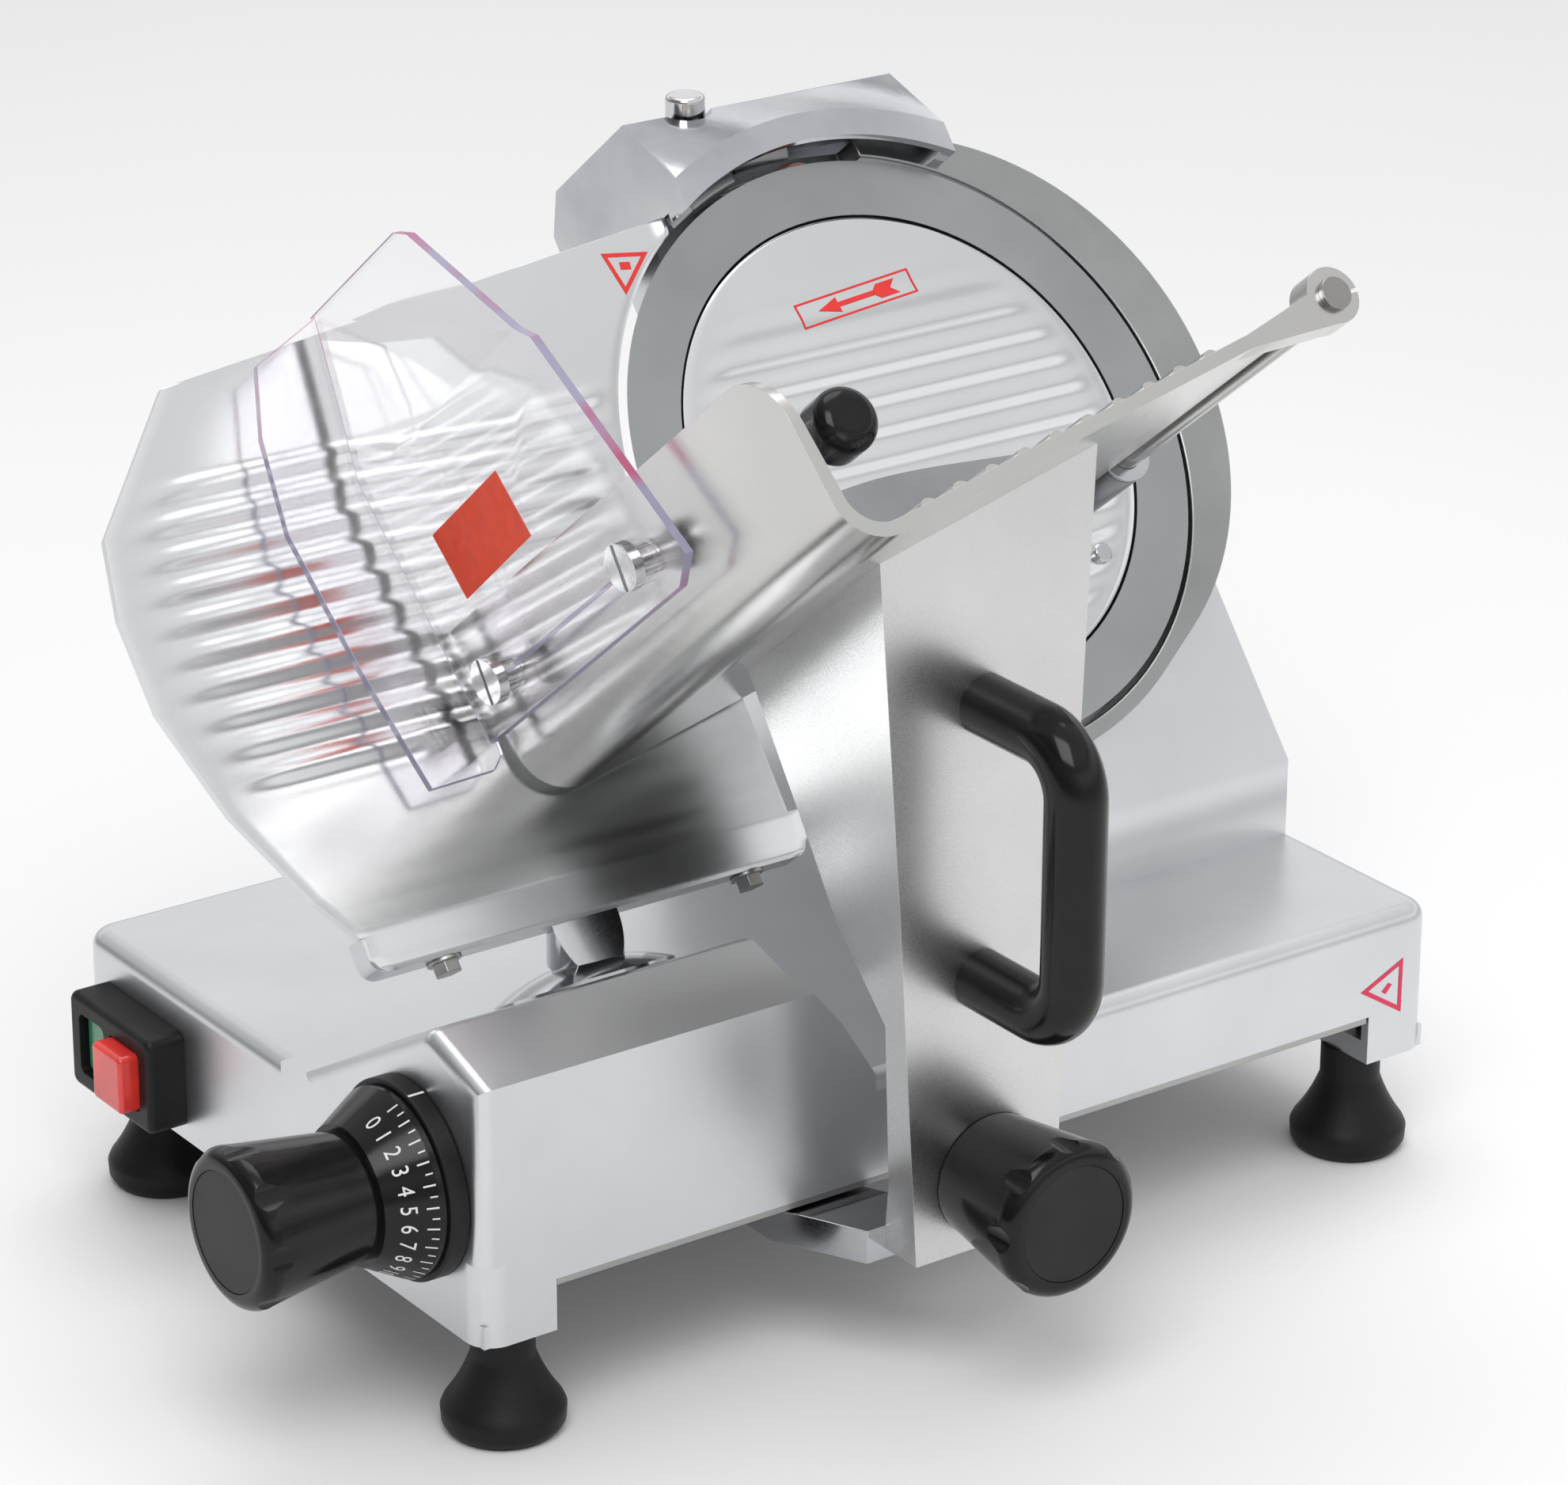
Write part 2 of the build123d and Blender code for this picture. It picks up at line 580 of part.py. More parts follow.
save(disc(STONE_PLANE, 10, 6, 3), "sharpening_stone")
with BuildPart() as stone_spindle:
    with BuildSketch(STONE_PLANE.offset(0.5)):
        Circle(3)
    extrude(amount=44)
    with BuildSketch(STONE_PLANE.offset(6)):
        Circle(6)
    extrude(amount=2)
save(stone_spindle.part, "stone_spindle")

with BuildPart() as sharpener_bracket:
    with BuildSketch(STONE_PLANE.offset(24)):
        with Locations((0, -13)):
            Rectangle(26, 44)
    extrude(amount=16)
    with BuildSketch(STONE_PLANE.offset(20)):
        Circle(3 + RUNNING)
    extrude(amount=30, mode=Mode.SUBTRACT)
    with BuildSketch(BLADE.offset(-90)):
        with Locations((0, HOOD_TOP_V - HOOD_T + 20)):
            Rectangle(60, 40)
    extrude(amount=100, mode=Mode.SUBTRACT)
save(sharpener_bracket.part, "sharpener_bracket")

# a sprung plunger through the hood's top
with BuildPart() as sharpener_button:
    with BuildSketch(Plane(origin=BUTTON_POINT)):
        Circle(BUTTON_R)
    extrude(amount=BUTTON_TOP - BUTTON_POINT[2])
    fillet(sharpener_button.edges().group_by(Axis.Z)[-1], 2)
    with BuildSketch(Plane(origin=BUTTON_POINT)):
        Circle(10.5)
    extrude(amount=4)
save(sharpener_button.part, "sharpener_button")

# --- thickness dial -------------------------------------------------------------------------------
DIAL_AXIS = Axis(at(0, DIAL_Y, DIAL_Z), (-1, 0, 0))
DIAL_PLANE = Plane(origin=at(0, DIAL_Y, DIAL_Z), x_dir=(0, -1, 0), z_dir=(-1, 0, 0))
INDEX_R = 6.0
CAM_X = 24.0
DISC_R = 22.8
DIAL_SKIRT = 28.5          # how far the dial's number skirt reaches out from the base
SCOOPS = 8


def grip(plane, start, length):
    """A flared knob with shallow scoops round it; it rises along the plane's normal from start."""
    axis = Axis(plane.origin, plane.z_dir)
    profile = Plane(origin=plane.origin, x_dir=plane.x_dir, z_dir=plane.x_dir.cross(plane.z_dir))
    with BuildPart() as knob:
        with BuildSketch(profile):
            with BuildLine():
                Polyline((0, start), (24, start), (KNOB_R - 0.6, start + length - 8))
                ThreePointArc((KNOB_R - 0.6, start + length - 8), (KNOB_R - 1.7, start + length - 2.2),
                              (KNOB_R - 6, start + length))
                Polyline((KNOB_R - 6, start + length), (DISC_R, start + length),
                         (DISC_R, start + length - 1.5), (0, start + length - 1.5), (0, start))
            make_face()
        revolve(axis=axis)
        for scoop in range(SCOOPS):
            angle = radians(360 / SCOOPS * scoop)
            centre = (38.5 * cos(angle), 38.5 * sin(angle))
            with BuildSketch(plane.offset(start + length + 1)):
                with Locations(centre):
                    Circle(10.5)
            extrude(amount=-length, taper=3.5, mode=Mode.SUBTRACT)
    return knob.part


save(disc(DIAL_PLANE, 38, 8, INDEX_R + RUNNING), "dial_ring")

dial_grip = grip(DIAL_PLANE, DIAL_SKIRT, KNOB_LEN)
with BuildPart() as dial_knob:
    with BuildSketch(Plane(origin=DIAL_PLANE.origin, x_dir=(0, -1, 0), z_dir=(0, 0, -1))):
        with BuildLine():
            Polyline((0, 8.5), (36, 8.5), (36, 11), (26.5, DIAL_SKIRT), (0, DIAL_SKIRT), close=True)
        make_face()
    revolve(axis=DIAL_AXIS)
    add(dial_grip)
    with BuildSketch(DIAL_PLANE.offset(8)):
        Circle(INDEX_R)
    extrude(amount=30, mode=Mode.SUBTRACT)
save(dial_knob.part, "dial_knob")
save(disc(DIAL_PLANE.offset(DIAL_SKIRT + KNOB_LEN - 1.5), DISC_R - 0.1, 1.3), "dial_cap")

with BuildPart() as index_shaft:
    with BuildSketch(DIAL_PLANE.offset(38)):
        Circle(INDEX_R)
    extrude(amount=-38 - CAM_X - 14)
save(index_shaft.part, "index_shaft")

with BuildPart() as index_cam:
    with BuildSketch(DIAL_PLANE.offset(-CAM_X)):
        with BuildLine():
            Spline((22, 0), (0, 19), (-16, 0), (0, -13), (20, -4))
            Line((20, -4), (22, 0))
        make_face()
        Circle(INDEX_R, mode=Mode.SUBTRACT)
    extrude(amount=-8)
save(index_cam.part, "index_cam")

# --- gauge plate, which slides down the bump's slope ----------------------------------------------
GAUGE_FACE = -0.5
GAUGE_T = 4.0
GAUGE_ARC = 128.5
GAUGE_FOLD_V = -126.0
LIP_V = -143.0
SUPPORT_T = 11.0
DOME_R = 35.0
BAR_T = 8.0
POST_FOOT = 10.0

with BuildPart() as gauge_plate:
    with BuildSketch(BLADE.offset(GAUGE_FACE - GAUGE_T)):
        with BuildLine():
            Polyline((-308, -129), (-320, -112), (-340, -73), (-353, -29.5), (-354, 8), (-348, 38.5), (-304, 90),
                     (-69, 115.5), (-69, 108.4))
            ThreePointArc((-69, 108.4), (-GAUGE_ARC, 0), (-114, -59.3))
            Polyline((-114, -59.3), (-117, -68), (-117, GAUGE_FOLD_V), (-287, GAUGE_FOLD_V), (-308, -129))
        make_face()
    extrude(amount=GAUGE_T)
    with BuildSketch(BLADE.offset(GAUGE_FACE - GAUGE_T)) as lip_face:
        with Locations((-209, (GAUGE_FOLD_V + LIP_V) / 2)):
            Rectangle(194, GAUGE_FOLD_V - LIP_V)
        fillet(lip_face.vertices().group_by(Axis.Y)[0], 6)
    extrude(amount=GAUGE_T)
    with BuildSketch(BLADE.offset(GAUGE_FACE - 0.1)):
        for rib in range(10):
            rib_v = 51.0 - 12.5 * rib
            left = -349 + 0.0026 * (rib_v - 5) ** 2
            right = -sqrt((GAUGE_ARC + 5) ** 2 - rib_v ** 2)
            with Locations(((left + right) / 2, rib_v)):
                SlotOverall(right - left, 3.2)
    extrude(amount=1.2)
save(gauge_plate.part, "gauge_plate")

with BuildPart() as gauge_support:
    with BuildSketch(BLADE.offset(GAUGE_FACE - GAUGE_T - SUPPORT_T)) as support_face:
        with Locations((-209, (LIP_V - 128) / 2)):
            Rectangle(194, -128 - LIP_V)
        fillet(support_face.vertices().group_by(Axis.Y)[0], 6)
    extrude(amount=SUPPORT_T)
    with BuildSketch(Plane(origin=POST_POINT).offset(POST_FOOT)):
        Circle(POST_R)
    extrude(amount=60)
    with BuildSketch(BLADE.offset(GAUGE_FACE - GAUGE_T)):
        with Locations((-209, -100)):
            Rectangle(300, 200)
    extrude(amount=80, mode=Mode.SUBTRACT)
    with BuildSketch(BLADE.offset(-200)):
        with Locations((-209, -68)):
            Rectangle(300, 120)
    extrude(amount=220, mode=Mode.SUBTRACT)
save(gauge_support.part, "gauge_support")

with BuildPart() as gauge_post:
    with BuildSketch(Plane(origin=POST_POINT).offset(-40)):
        Circle(NECK_R)
    extrude(amount=40 + POST_FOOT)
    with BuildSketch(Plane(origin=POST_POINT, x_dir=(1, 0, 0), z_dir=(0, -SLOPE_C, SLOPE_S))):
        with BuildLine():
            Polyline((0, 10.5), (0, 0.6), (DOME_R, 0.6), (DOME_R, 1.8))
            ThreePointArc((DOME_R, 1.8), (DOME_R / 2, 8.4), (0, 10.5))
        make_face()
    revolve(axis=Axis(POST_POINT, (0, SLOPE_S, SLOPE_C)))
    with BuildSketch(Plane(origin=POST_POINT).offset(POST_FOOT)):
        Circle(POST_R)
    extrude(amount=40, mode=Mode.SUBTRACT)
save(gauge_post.part, "gauge_post")

with BuildPart() as slide_block:
    with BuildSketch(Plane(origin=POST_POINT).offset(-40)):
        Rectangle(44, 30)
        Circle(NECK_R, mode=Mode.SUBTRACT)
    extrude(amount=14)
save(slide_block.part, "slide_block")

with BuildPart() as slide_guide_bar:
    with BuildSketch(SLOPE_PLANE.offset(-WALL - BAR_T)):
        with Locations((0, (GAUGE_TRAVEL + 8) / 2)):
            Rectangle(64, 72)
            SlotOverall(2 * (NECK_R / SLOPE_C + 1) + GAUGE_TRAVEL + 8, 2 * NECK_R + 2, rotation=90,
                        mode=Mode.SUBTRACT)
    extrude(amount=BAR_T)
save(slide_guide_bar.part, "slide_guide_bar")

with BuildPart() as gauge_bolts:
    for bolt_u in (-274, -139):
        under_bar = Plane(origin=on_blade(bolt_u, LIP_V, -10), x_dir=(1, 0, 0), z_dir=-RISE)
        with BuildSketch(under_bar):
            Circle(6.8)
        extrude(amount=1.4)
        with BuildSketch(under_bar.offset(1.4)):
            RegularPolygon(5.6, 6)
        extrude(amount=4.4)
save(gauge_bolts.part, "gauge_bolts")

# --- switch on the left face ----------------------------------------------------------------------
SWITCH_T = 16.0
BUTTONS = [("stop_button", 228.5, 22.0, 24.0), ("start_button", 253.5, 18.0, 13.0)]
with BuildPart() as switch_housing:
    with BuildSketch(side_plane(0)):
        with Locations((SWITCH_Y, SWITCH_Z)):
            RectangleRounded(62, 40, 4.5)
    extrude(amount=-SWITCH_T)
    fillet(switch_housing.faces().sort_by(Axis.X)[0].edges(), 3)
    with BuildSketch(side_plane(0)):
        with Locations((SWITCH_Y, SWITCH_Z)):
            Rectangle(49, 25)
    extrude(amount=14)
    for button_name, button_y, button_w, button_reach in BUTTONS:
        with BuildSketch(side_plane(4)):
            with Locations((button_y, SWITCH_Z)):
                RectangleRounded(button_w + 1, 25, 3)
        extrude(amount=-SWITCH_T - 6, mode=Mode.SUBTRACT)
save(switch_housing.part, "switch_housing")

for button_name, button_y, button_w, button_reach in BUTTONS:
    with BuildPart() as button:
        with BuildSketch(side_plane(-1.5)):
            with Locations((button_y, SWITCH_Z)):
                RectangleRounded(button_w, 24, 2.5)
        extrude(amount=1.5 - button_reach)
        fillet(button.faces().sort_by(Axis.X)[0].edges(), 2)
    save(button.part, button_name)

with BuildPart() as cord_gland:
    with BuildSketch(front_plane(BASE_D)):
        with Locations((CORD_X, CORD_Z)):
            Circle(12)
    extrude(amount=-6)
    with BuildSketch(front_plane(BASE_D - WALL)):
        with Locations((CORD_X, CORD_Z)):
            Circle(8)
    extrude(amount=-WALL - 16)
    with BuildSketch(front_plane(BASE_D - WALL)):
        with Locations((CORD_X, CORD_Z)):
            Circle(4)
    extrude(amount=-WALL - 17, mode=Mode.SUBTRACT)
save(cord_gland.part, "cord_gland")

# --- carriage guide under the base ----------------------------------------------------------------
ROD_Y = 75.0
ROD_Z = 50.0
ROD_R = 8.0
ROD_ENDS = (42.0, 406.0)
RAIL_Y = 132.0
BAR_Z = (48.0, 61.5)
BLOCK_X = (128.0, 200.0)


def x_plane(x, y, z):
    """A plane facing +X centred on a point measured from the base's corner."""
    return Plane(origin=at(x, y, z), x_dir=(0, 1, 0), z_dir=(1, 0, 0))


save(disc(x_plane(ROD_ENDS[0], ROD_Y, ROD_Z), ROD_R, ROD_ENDS[1] - ROD_ENDS[0]), "guide_rod")

with BuildPart() as rod_brackets:
    for bracket_x in (ROD_ENDS[0], ROD_ENDS[1] - 10):
        with BuildSketch(side_plane(bracket_x)):
            with Locations((ROD_Y, (PLATE_Z + 38) / 2)):
                Rectangle(30, PLATE_Z - 38)
            with Locations((ROD_Y, ROD_Z)):
                Circle(ROD_R, mode=Mode.SUBTRACT)
        extrude(amount=10)
save(rod_brackets.part, "rod_brackets")

with BuildPart() as guide_rail:
    with BuildSketch(side_plane(ROD_ENDS[0])):
        with Locations((RAIL_Y, PLATE_Z - 2.5)):
            Rectangle(18, 5)
    extrude(amount=ROD_ENDS[1] - ROD_ENDS[0])
save(guide_rail.part, "guide_rail")

with BuildPart() as slider_block:
    with BuildSketch(side_plane(BLOCK_X[0])):
        with Locations((ROD_Y, (38 + BAR_Z[1]) / 2)):
            Rectangle(28, BAR_Z[1] - 38)
        with Locations((ROD_Y, ROD_Z)):
            Circle(11, mode=Mode.SUBTRACT)
    extrude(amount=BLOCK_X[1] - BLOCK_X[0])
    with BuildSketch(Plane.XY.offset(44)):
        with Locations(at(sum(BLOCK_X) / 2, (ROD_Y + 14 + RAIL_Y + 6) / 2)[:2]):
            Rectangle(30, RAIL_Y + 6 - ROD_Y - 14)
    extrude(amount=8)
    with BuildSketch(Plane.XY.offset(BAR_Z[0])):
        with BuildLine():
            Polyline(at(BLOCK_X[0] + 4, ROD_Y - 14)[:2], at(BLOCK_X[0] + 40, ROD_Y - 14)[:2],
                     at(BLOCK_X[0] + 40, 8)[:2], at(186, -28)[:2], at(150, -28)[:2], at(BLOCK_X[0] + 4, 8)[:2],
                     close=True)
        make_face()
    extrude(amount=BAR_Z[1] - BAR_Z[0])
save(slider_block.part, "slider_block")

with BuildPart() as slider_bushes:
    for bush_x in (BLOCK_X[0], BLOCK_X[1] - 20):
        add(disc(x_plane(bush_x, ROD_Y, ROD_Z), 11, 20, ROD_R + RUNNING))
save(slider_bushes.part, "slider_bushes")

with BuildPart() as rail_shoe:
    with BuildSketch(Plane.XY.offset(52)):
        with Locations(at(sum(BLOCK_X) / 2, RAIL_Y)[:2]):
            Rectangle(24, 12)
    extrude(amount=PLATE_Z - 5 - 0.3 - 52)
save(rail_shoe.part, "rail_shoe")

# --- carriage arm ---------------------------------------------------------------------------------
ARM_T = 5.5
ARM_FACE = [(139, 340), (139, 331), (149.5, 197), (159, 51.5), (223, 51.5), (227, 177), (234, 356), (234, 370),
            (139, 370)]
WING = [(ARM_Y, 51.5), (-28, 51.5), (-28, 63), (-31, 80), (-33.6, 146), (-6, 177.5), (11, 209), (40.5, 262), (60, 300),
        (60, 380), (ARM_Y, 380)]
TRAY_FLOOR = (-175.8, -91.3)
ROLL_T = tan(radians(TRAY_ROLL))


def under_tray(u, drop=0.0):
    """Height v of the tray's underside at u."""
    return TRAY_FLOOR[1] + (u - TRAY_FLOOR[0]) * ROLL_T - drop


def above_floor(drop):
    """Everything above the tray's underside, as a block to cut away."""
    with BuildPart() as block:
        with BuildSketch(BLADE.offset(-60)):
            with BuildLine():
                Polyline((-330, under_tray(-330, drop)), (60, under_tray(60, drop)), (60, 400), (-330, 400), close=True)
            make_face()
        extrude(amount=400)
    return block.part


with BuildPart() as carriage_arm:
    with BuildSketch(front_plane(ARM_Y)):
        with BuildLine():
            Polyline(*ARM_FACE[1:], close=True)
        make_face()
    extrude(amount=-106)
    with BuildSketch(side_plane(130)):
        with BuildLine():
            Polyline(*WING, close=True)
        make_face()
    extrude(amount=120, mode=Mode.INTERSECT)
    add(above_floor(0), mode=Mode.SUBTRACT)

with BuildPart() as arm_hollow:
    with BuildSketch(front_plane(ARM_Y + ARM_T)):
        with BuildLine():
            Polyline((139 + 6, 331), (149.5 + 6, 197), (159 + 7, 72), (223 - 7, 72), (227 - 6, 177), (234 - 6, 356),
                     (234 - 6, 380), (139 + 6, 380), close=True)
        make_face()
    extrude(amount=-110)
    add(above_floor(6), mode=Mode.SUBTRACT)

with BuildPart() as finished_arm:
    add(carriage_arm.part)
    add(arm_hollow.part, mode=Mode.SUBTRACT)
save(finished_arm.part, "carriage_arm")

# --- tray -----------------------------------------------------------------------------------------
FLOOR_T = 5.2
PUSH_UV = (12.8, -49.5)
PUSH_ROD_R = 6.3
LUG_R = 11.0
WALL_TOP = (-228.0, -27.0)
FOLD_UV = (-219.6, under_tray(-219.6))

LEAN_LEN = sqrt((WALL_TOP[0] - FOLD_UV[0]) ** 2 + (WALL_TOP[1] - FOLD_UV[1]) ** 2)
LEAN_S = (FOLD_UV[0] - WALL_TOP[0]) / LEAN_LEN
LEAN_C = (WALL_TOP[1] - FOLD_UV[1]) / LEAN_LEN
GUARD_GAP = 9.0
GUARD_T = 3.5
GUARD_D = 8.0
SCREW_D = (35.0, 149.0)


def wall_point(v, out=0.0):
    """The point (u, v) at height v on the wall's outer face, or this far outside it."""
    return (WALL_TOP[0] - (v - WALL_TOP[1]) * LEAN_S / LEAN_C - out / LEAN_C, v)


def wall_plane(d, out):
    """A plane that faces outwards at a guard screw, this far outside the wall's face."""
    outwards = Vector(-1, 0, 0) * LEAN_C - RISE * LEAN_S
    return Plane(origin=on_blade(*wall_point(-55), d) + outwards * out, x_dir=NORMAL, z_dir=outwards)


def tray_end(start, length):
    """The floor's right end turned into an eye for the pusher's rod."""
    with BuildPart() as lug:
        with BuildSketch(BLADE.offset(start)):
            with Locations(PUSH_UV):
                Circle(LUG_R)
            with BuildLine():
                Polyline((-30, under_tray(-30)), (-30, under_tray(-30) + FLOOR_T), (6, under_tray(6) + FLOOR_T + 3),
                         (14, PUSH_UV[1] - LUG_R + 0.3), close=True)
            make_face()
        extrude(amount=length)
    return lug.part


with BuildPart() as tray:
    with BuildSketch(BLADE.offset(TRAY_GAP)) as tray_profile:
        with BuildLine():
            Polyline((-10, under_tray(-10)), FOLD_UV, WALL_TOP, (WALL_TOP[0] + WALL_T, WALL_TOP[1]),
                     (FOLD_UV[0] + 5.4, under_tray(FOLD_UV[0] + 5.4) + FLOOR_T), (0, under_tray(0) + FLOOR_T),
                     (0, under_tray(0)), (-10, under_tray(-10)))
        make_face()
        fillet(tray_profile.vertices().sort_by_distance((*FOLD_UV, 0))[0:1], 19)
        inner = (FOLD_UV[0] + 5.4, under_tray(FOLD_UV[0] + 5.4) + FLOOR_T, 0)
        fillet(tray_profile.vertices().sort_by_distance(inner)[0:1], 14)
    extrude(amount=TRAY_LEN)
    with BuildSketch(BLADE.offset(TRAY_GAP + 6)):
        for rib in range(10):
            rib_u = -181.0 + 15.2 * rib
            with Locations((rib_u, under_tray(rib_u) + FLOOR_T)):
                Ellipse(3.2, 2.3)
    extrude(amount=TRAY_LEN - 12)
    # the wall's top corner is rounded down towards the operator
    with BuildSketch(Plane(origin=on_blade(-260, 0), x_dir=RISE, z_dir=(1, 0, 0))):
        with BuildLine():
            end = TRAY_GAP + TRAY_LEN
            Line((WALL_TOP[1] + 5, end - 24), (WALL_TOP[1], end - 24))
            ThreePointArc((WALL_TOP[1], end - 24), (WALL_TOP[1] - 7, end - 7), (WALL_TOP[1] - 24, end))
            Polyline((WALL_TOP[1] - 24, end), (WALL_TOP[1] - 24, end + 5), (WALL_TOP[1] + 5, end + 5),
                     (WALL_TOP[1] + 5, end - 24))
        make_face()
    extrude(amount=60, mode=Mode.SUBTRACT)
    add(tray_end(TRAY_GAP + TRAY_LEN - 12, 12))
    add(tray_end(8, 12))
    with BuildSketch(BLADE.offset(6)):
        with Locations(PUSH_UV):
            Circle(PUSH_ROD_R)
    extrude(amount=TRAY_LEN + 10, mode=Mode.SUBTRACT)
    # the clamp's slit
    with BuildSketch(BLADE.offset(TRAY_GAP + TRAY_LEN - 13)):
        with Locations((PUSH_UV[0] + 9, PUSH_UV[1])):
            Rectangle(12, 1.6)
    extrude(amount=15, mode=Mode.SUBTRACT)
    for screw_d in SCREW_D:
        with BuildSketch(wall_plane(screw_d, -WALL_T - 3)):
            Circle(3)
        extrude(amount=WALL_T + 6, mode=Mode.SUBTRACT)
save(tray.part, "tray")

with BuildPart() as pusher_rod:
    with BuildSketch(BLADE.offset(7)):
        with Locations(PUSH_UV):
            Circle(PUSH_ROD_R)
    extrude(amount=TRAY_LEN)
save(pusher_rod.part, "pusher_rod")

# --- clear guard on the tray's wall ---------------------------------------------------------------
with BuildPart() as guard_section:
    with BuildSketch(BLADE.offset(GUARD_D)):
        with BuildLine():
            low = wall_point(-74, GUARD_GAP)
            low_out = wall_point(-74, GUARD_GAP + GUARD_T)
            bend = wall_point(34, GUARD_GAP)
            bend_out = wall_point(34, GUARD_GAP + GUARD_T)
            Polyline(low, bend, (bend[0] + 9, 108), (bend_out[0] + 9, 108.6), bend_out, low_out, close=True)
        make_face()
    extrude(amount=190)
    with BuildSketch(Plane(origin=on_blade(-300, 0), x_dir=RISE, z_dir=(1, 0, 0))):
        with BuildLine():
            Polyline((-74, GUARD_D - 1), (-74, 170), (-66, 183), (29.5, 158.5), (37, 150), (97, 95), (102, 85),
                     (102, GUARD_D - 1), close=True)
        make_face()
    extrude(amount=120, mode=Mode.INTERSECT)

with BuildPart() as clear_guard:
    add(guard_section.part)
    with BuildSketch(BLADE.offset(GUARD_D)):
        with BuildLine():
            Polyline((wall_point(-74, GUARD_GAP)[0], -79), (-237, -84), (-265, -85), (-275, -35), (-283, 21),
                     (-279, 59), (-270, 87), (bend[0] + 8, 102), (bend[0], 34), wall_point(-74, GUARD_GAP),
                     close=True)
        make_face()
    extrude(amount=GUARD_T)
    for screw_d in SCREW_D:
        with BuildSketch(wall_plane(screw_d, GUARD_GAP - 1)):
            Circle(3)
        extrude(amount=GUARD_T + 2, mode=Mode.SUBTRACT)
save(clear_guard.part, "clear_guard")

with BuildPart() as guard_screws:
    for screw_d in SCREW_D:
        with BuildSketch(wall_plane(screw_d, -WALL_T - 1.5)):
            Circle(3)
        extrude(amount=GUARD_GAP + GUARD_T + WALL_T + 1.5)
        with BuildSketch(wall_plane(screw_d, GUARD_GAP + GUARD_T)):
            Circle(9)
        extrude(amount=4.5)
        tip = wall_plane(screw_d, GUARD_GAP + GUARD_T + 4.5).origin
        fillet(guard_screws.edges().filter_by(GeomType.CIRCLE).sort_by_distance(tip)[0], 2)
save(guard_screws.part, "guard_screws")

with BuildPart() as guard_spacers:
    for screw_d in SCREW_D:
        add(disc(wall_plane(screw_d, 0), 6, GUARD_GAP, 3))
save(guard_spacers.part, "guard_spacers")

# --- handle and lock knob on the arm --------------------------------------------------------------
HANDLE_X = 186.0
HANDLE_R = 11.5
HANDLE_OUT = 53.0
HANDLE_TOP = 268.0
HANDLE_LOW = 161.0

with BuildPart() as handle:
    with BuildLine(side_plane(HANDLE_X)) as handle_path:
        FilletPolyline((ARM_Y, HANDLE_TOP), (ARM_Y - HANDLE_OUT, HANDLE_TOP), (ARM_Y - HANDLE_OUT, HANDLE_LOW),
                       (ARM_Y, HANDLE_LOW), radius=20)
    with BuildSketch(Plane(origin=at(HANDLE_X, ARM_Y, HANDLE_TOP), z_dir=(0, -1, 0))):
        Circle(HANDLE_R)
    sweep()
save(handle.part, "handle")

LOCK_X = 192.3
LOCK_Z = 80.6
LOCK_PLANE = Plane(origin=at(LOCK_X, ARM_Y, LOCK_Z), x_dir=(1, 0, 0), z_dir=(0, -1, 0))
with BuildPart() as lock_knob:
    add(grip(LOCK_PLANE, 0.5, KNOB_LEN - 0.5))
save(lock_knob.part, "lock_knob")
save(disc(LOCK_PLANE.offset(KNOB_LEN - 1.5), DISC_R - 0.1, 1.3), "lock_cap")

# --- meat pusher, which slides and swings on its rod ----------------------------------------------
HUB_D = (62.0, 108.0)
BUSH_R = 8.2
PUSH_D = 68.0
PUSH_T = 6.0
KNOB_UV = (-91.0, -8.0)

with BuildPart() as pusher_bush:
    for flange_d in (HUB_D[0], HUB_D[1] - 2):
        with BuildSketch(BLADE.offset(flange_d)):
            with Locations(PUSH_UV):
                Circle(11)
        extrude(amount=2)
    with BuildSketch(BLADE.offset(HUB_D[0])):
        with Locations(PUSH_UV):
            Circle(BUSH_R)
    extrude(amount=HUB_D[1] - HUB_D[0])
    with BuildSketch(BLADE.offset(HUB_D[0] - 1)):
        with Locations(PUSH_UV):
            Circle(PUSH_ROD_R + RUNNING)
    extrude(amount=60, mode=Mode.SUBTRACT)
save(pusher_bush.part, "pusher_bush")

with BuildPart() as pusher:
    with BuildSketch(BLADE.offset(HUB_D[0] + 2.3)):
        with Locations(PUSH_UV):
            Circle(11)
    extrude(amount=HUB_D[1] - HUB_D[0] - 4.6)
    with BuildSketch(BLADE.offset(PUSH_D)):
        with BuildLine():
            Polyline((PUSH_UV[0] + 5, PUSH_UV[1] + 9), (0, under_tray(0) + 24))
            Spline((0, under_tray(0) + 24), (-32, under_tray(-32) + 33), (-86, under_tray(-86) + 45),
                   (-150, under_tray(-150) + 41), (-190, under_tray(-190) + 26))
            Polyline((-190, under_tray(-190) + 26), (-192, under_tray(-192) + 12), (-4, under_tray(-4) + 12),
                     (PUSH_UV[0] - 9, PUSH_UV[1] + 5), PUSH_UV, (PUSH_UV[0] + 5, PUSH_UV[1] + 9))
        make_face()
    extrude(amount=PUSH_T)
    with BuildSketch(BLADE.offset(PUSH_D - 2)):
        for tooth in range(14):
            tooth_u = -180.0 + 12 * tooth
            with Locations((tooth_u, under_tray(tooth_u) + 23)):
                Rectangle(3, 16)
    extrude(amount=2.1)
    with BuildSketch(BLADE.offset(HUB_D[0] - 1)):
        with Locations(PUSH_UV):
            Circle(BUSH_R + RUNNING)
    extrude(amount=60, mode=Mode.SUBTRACT)
save(pusher.part, "pusher")

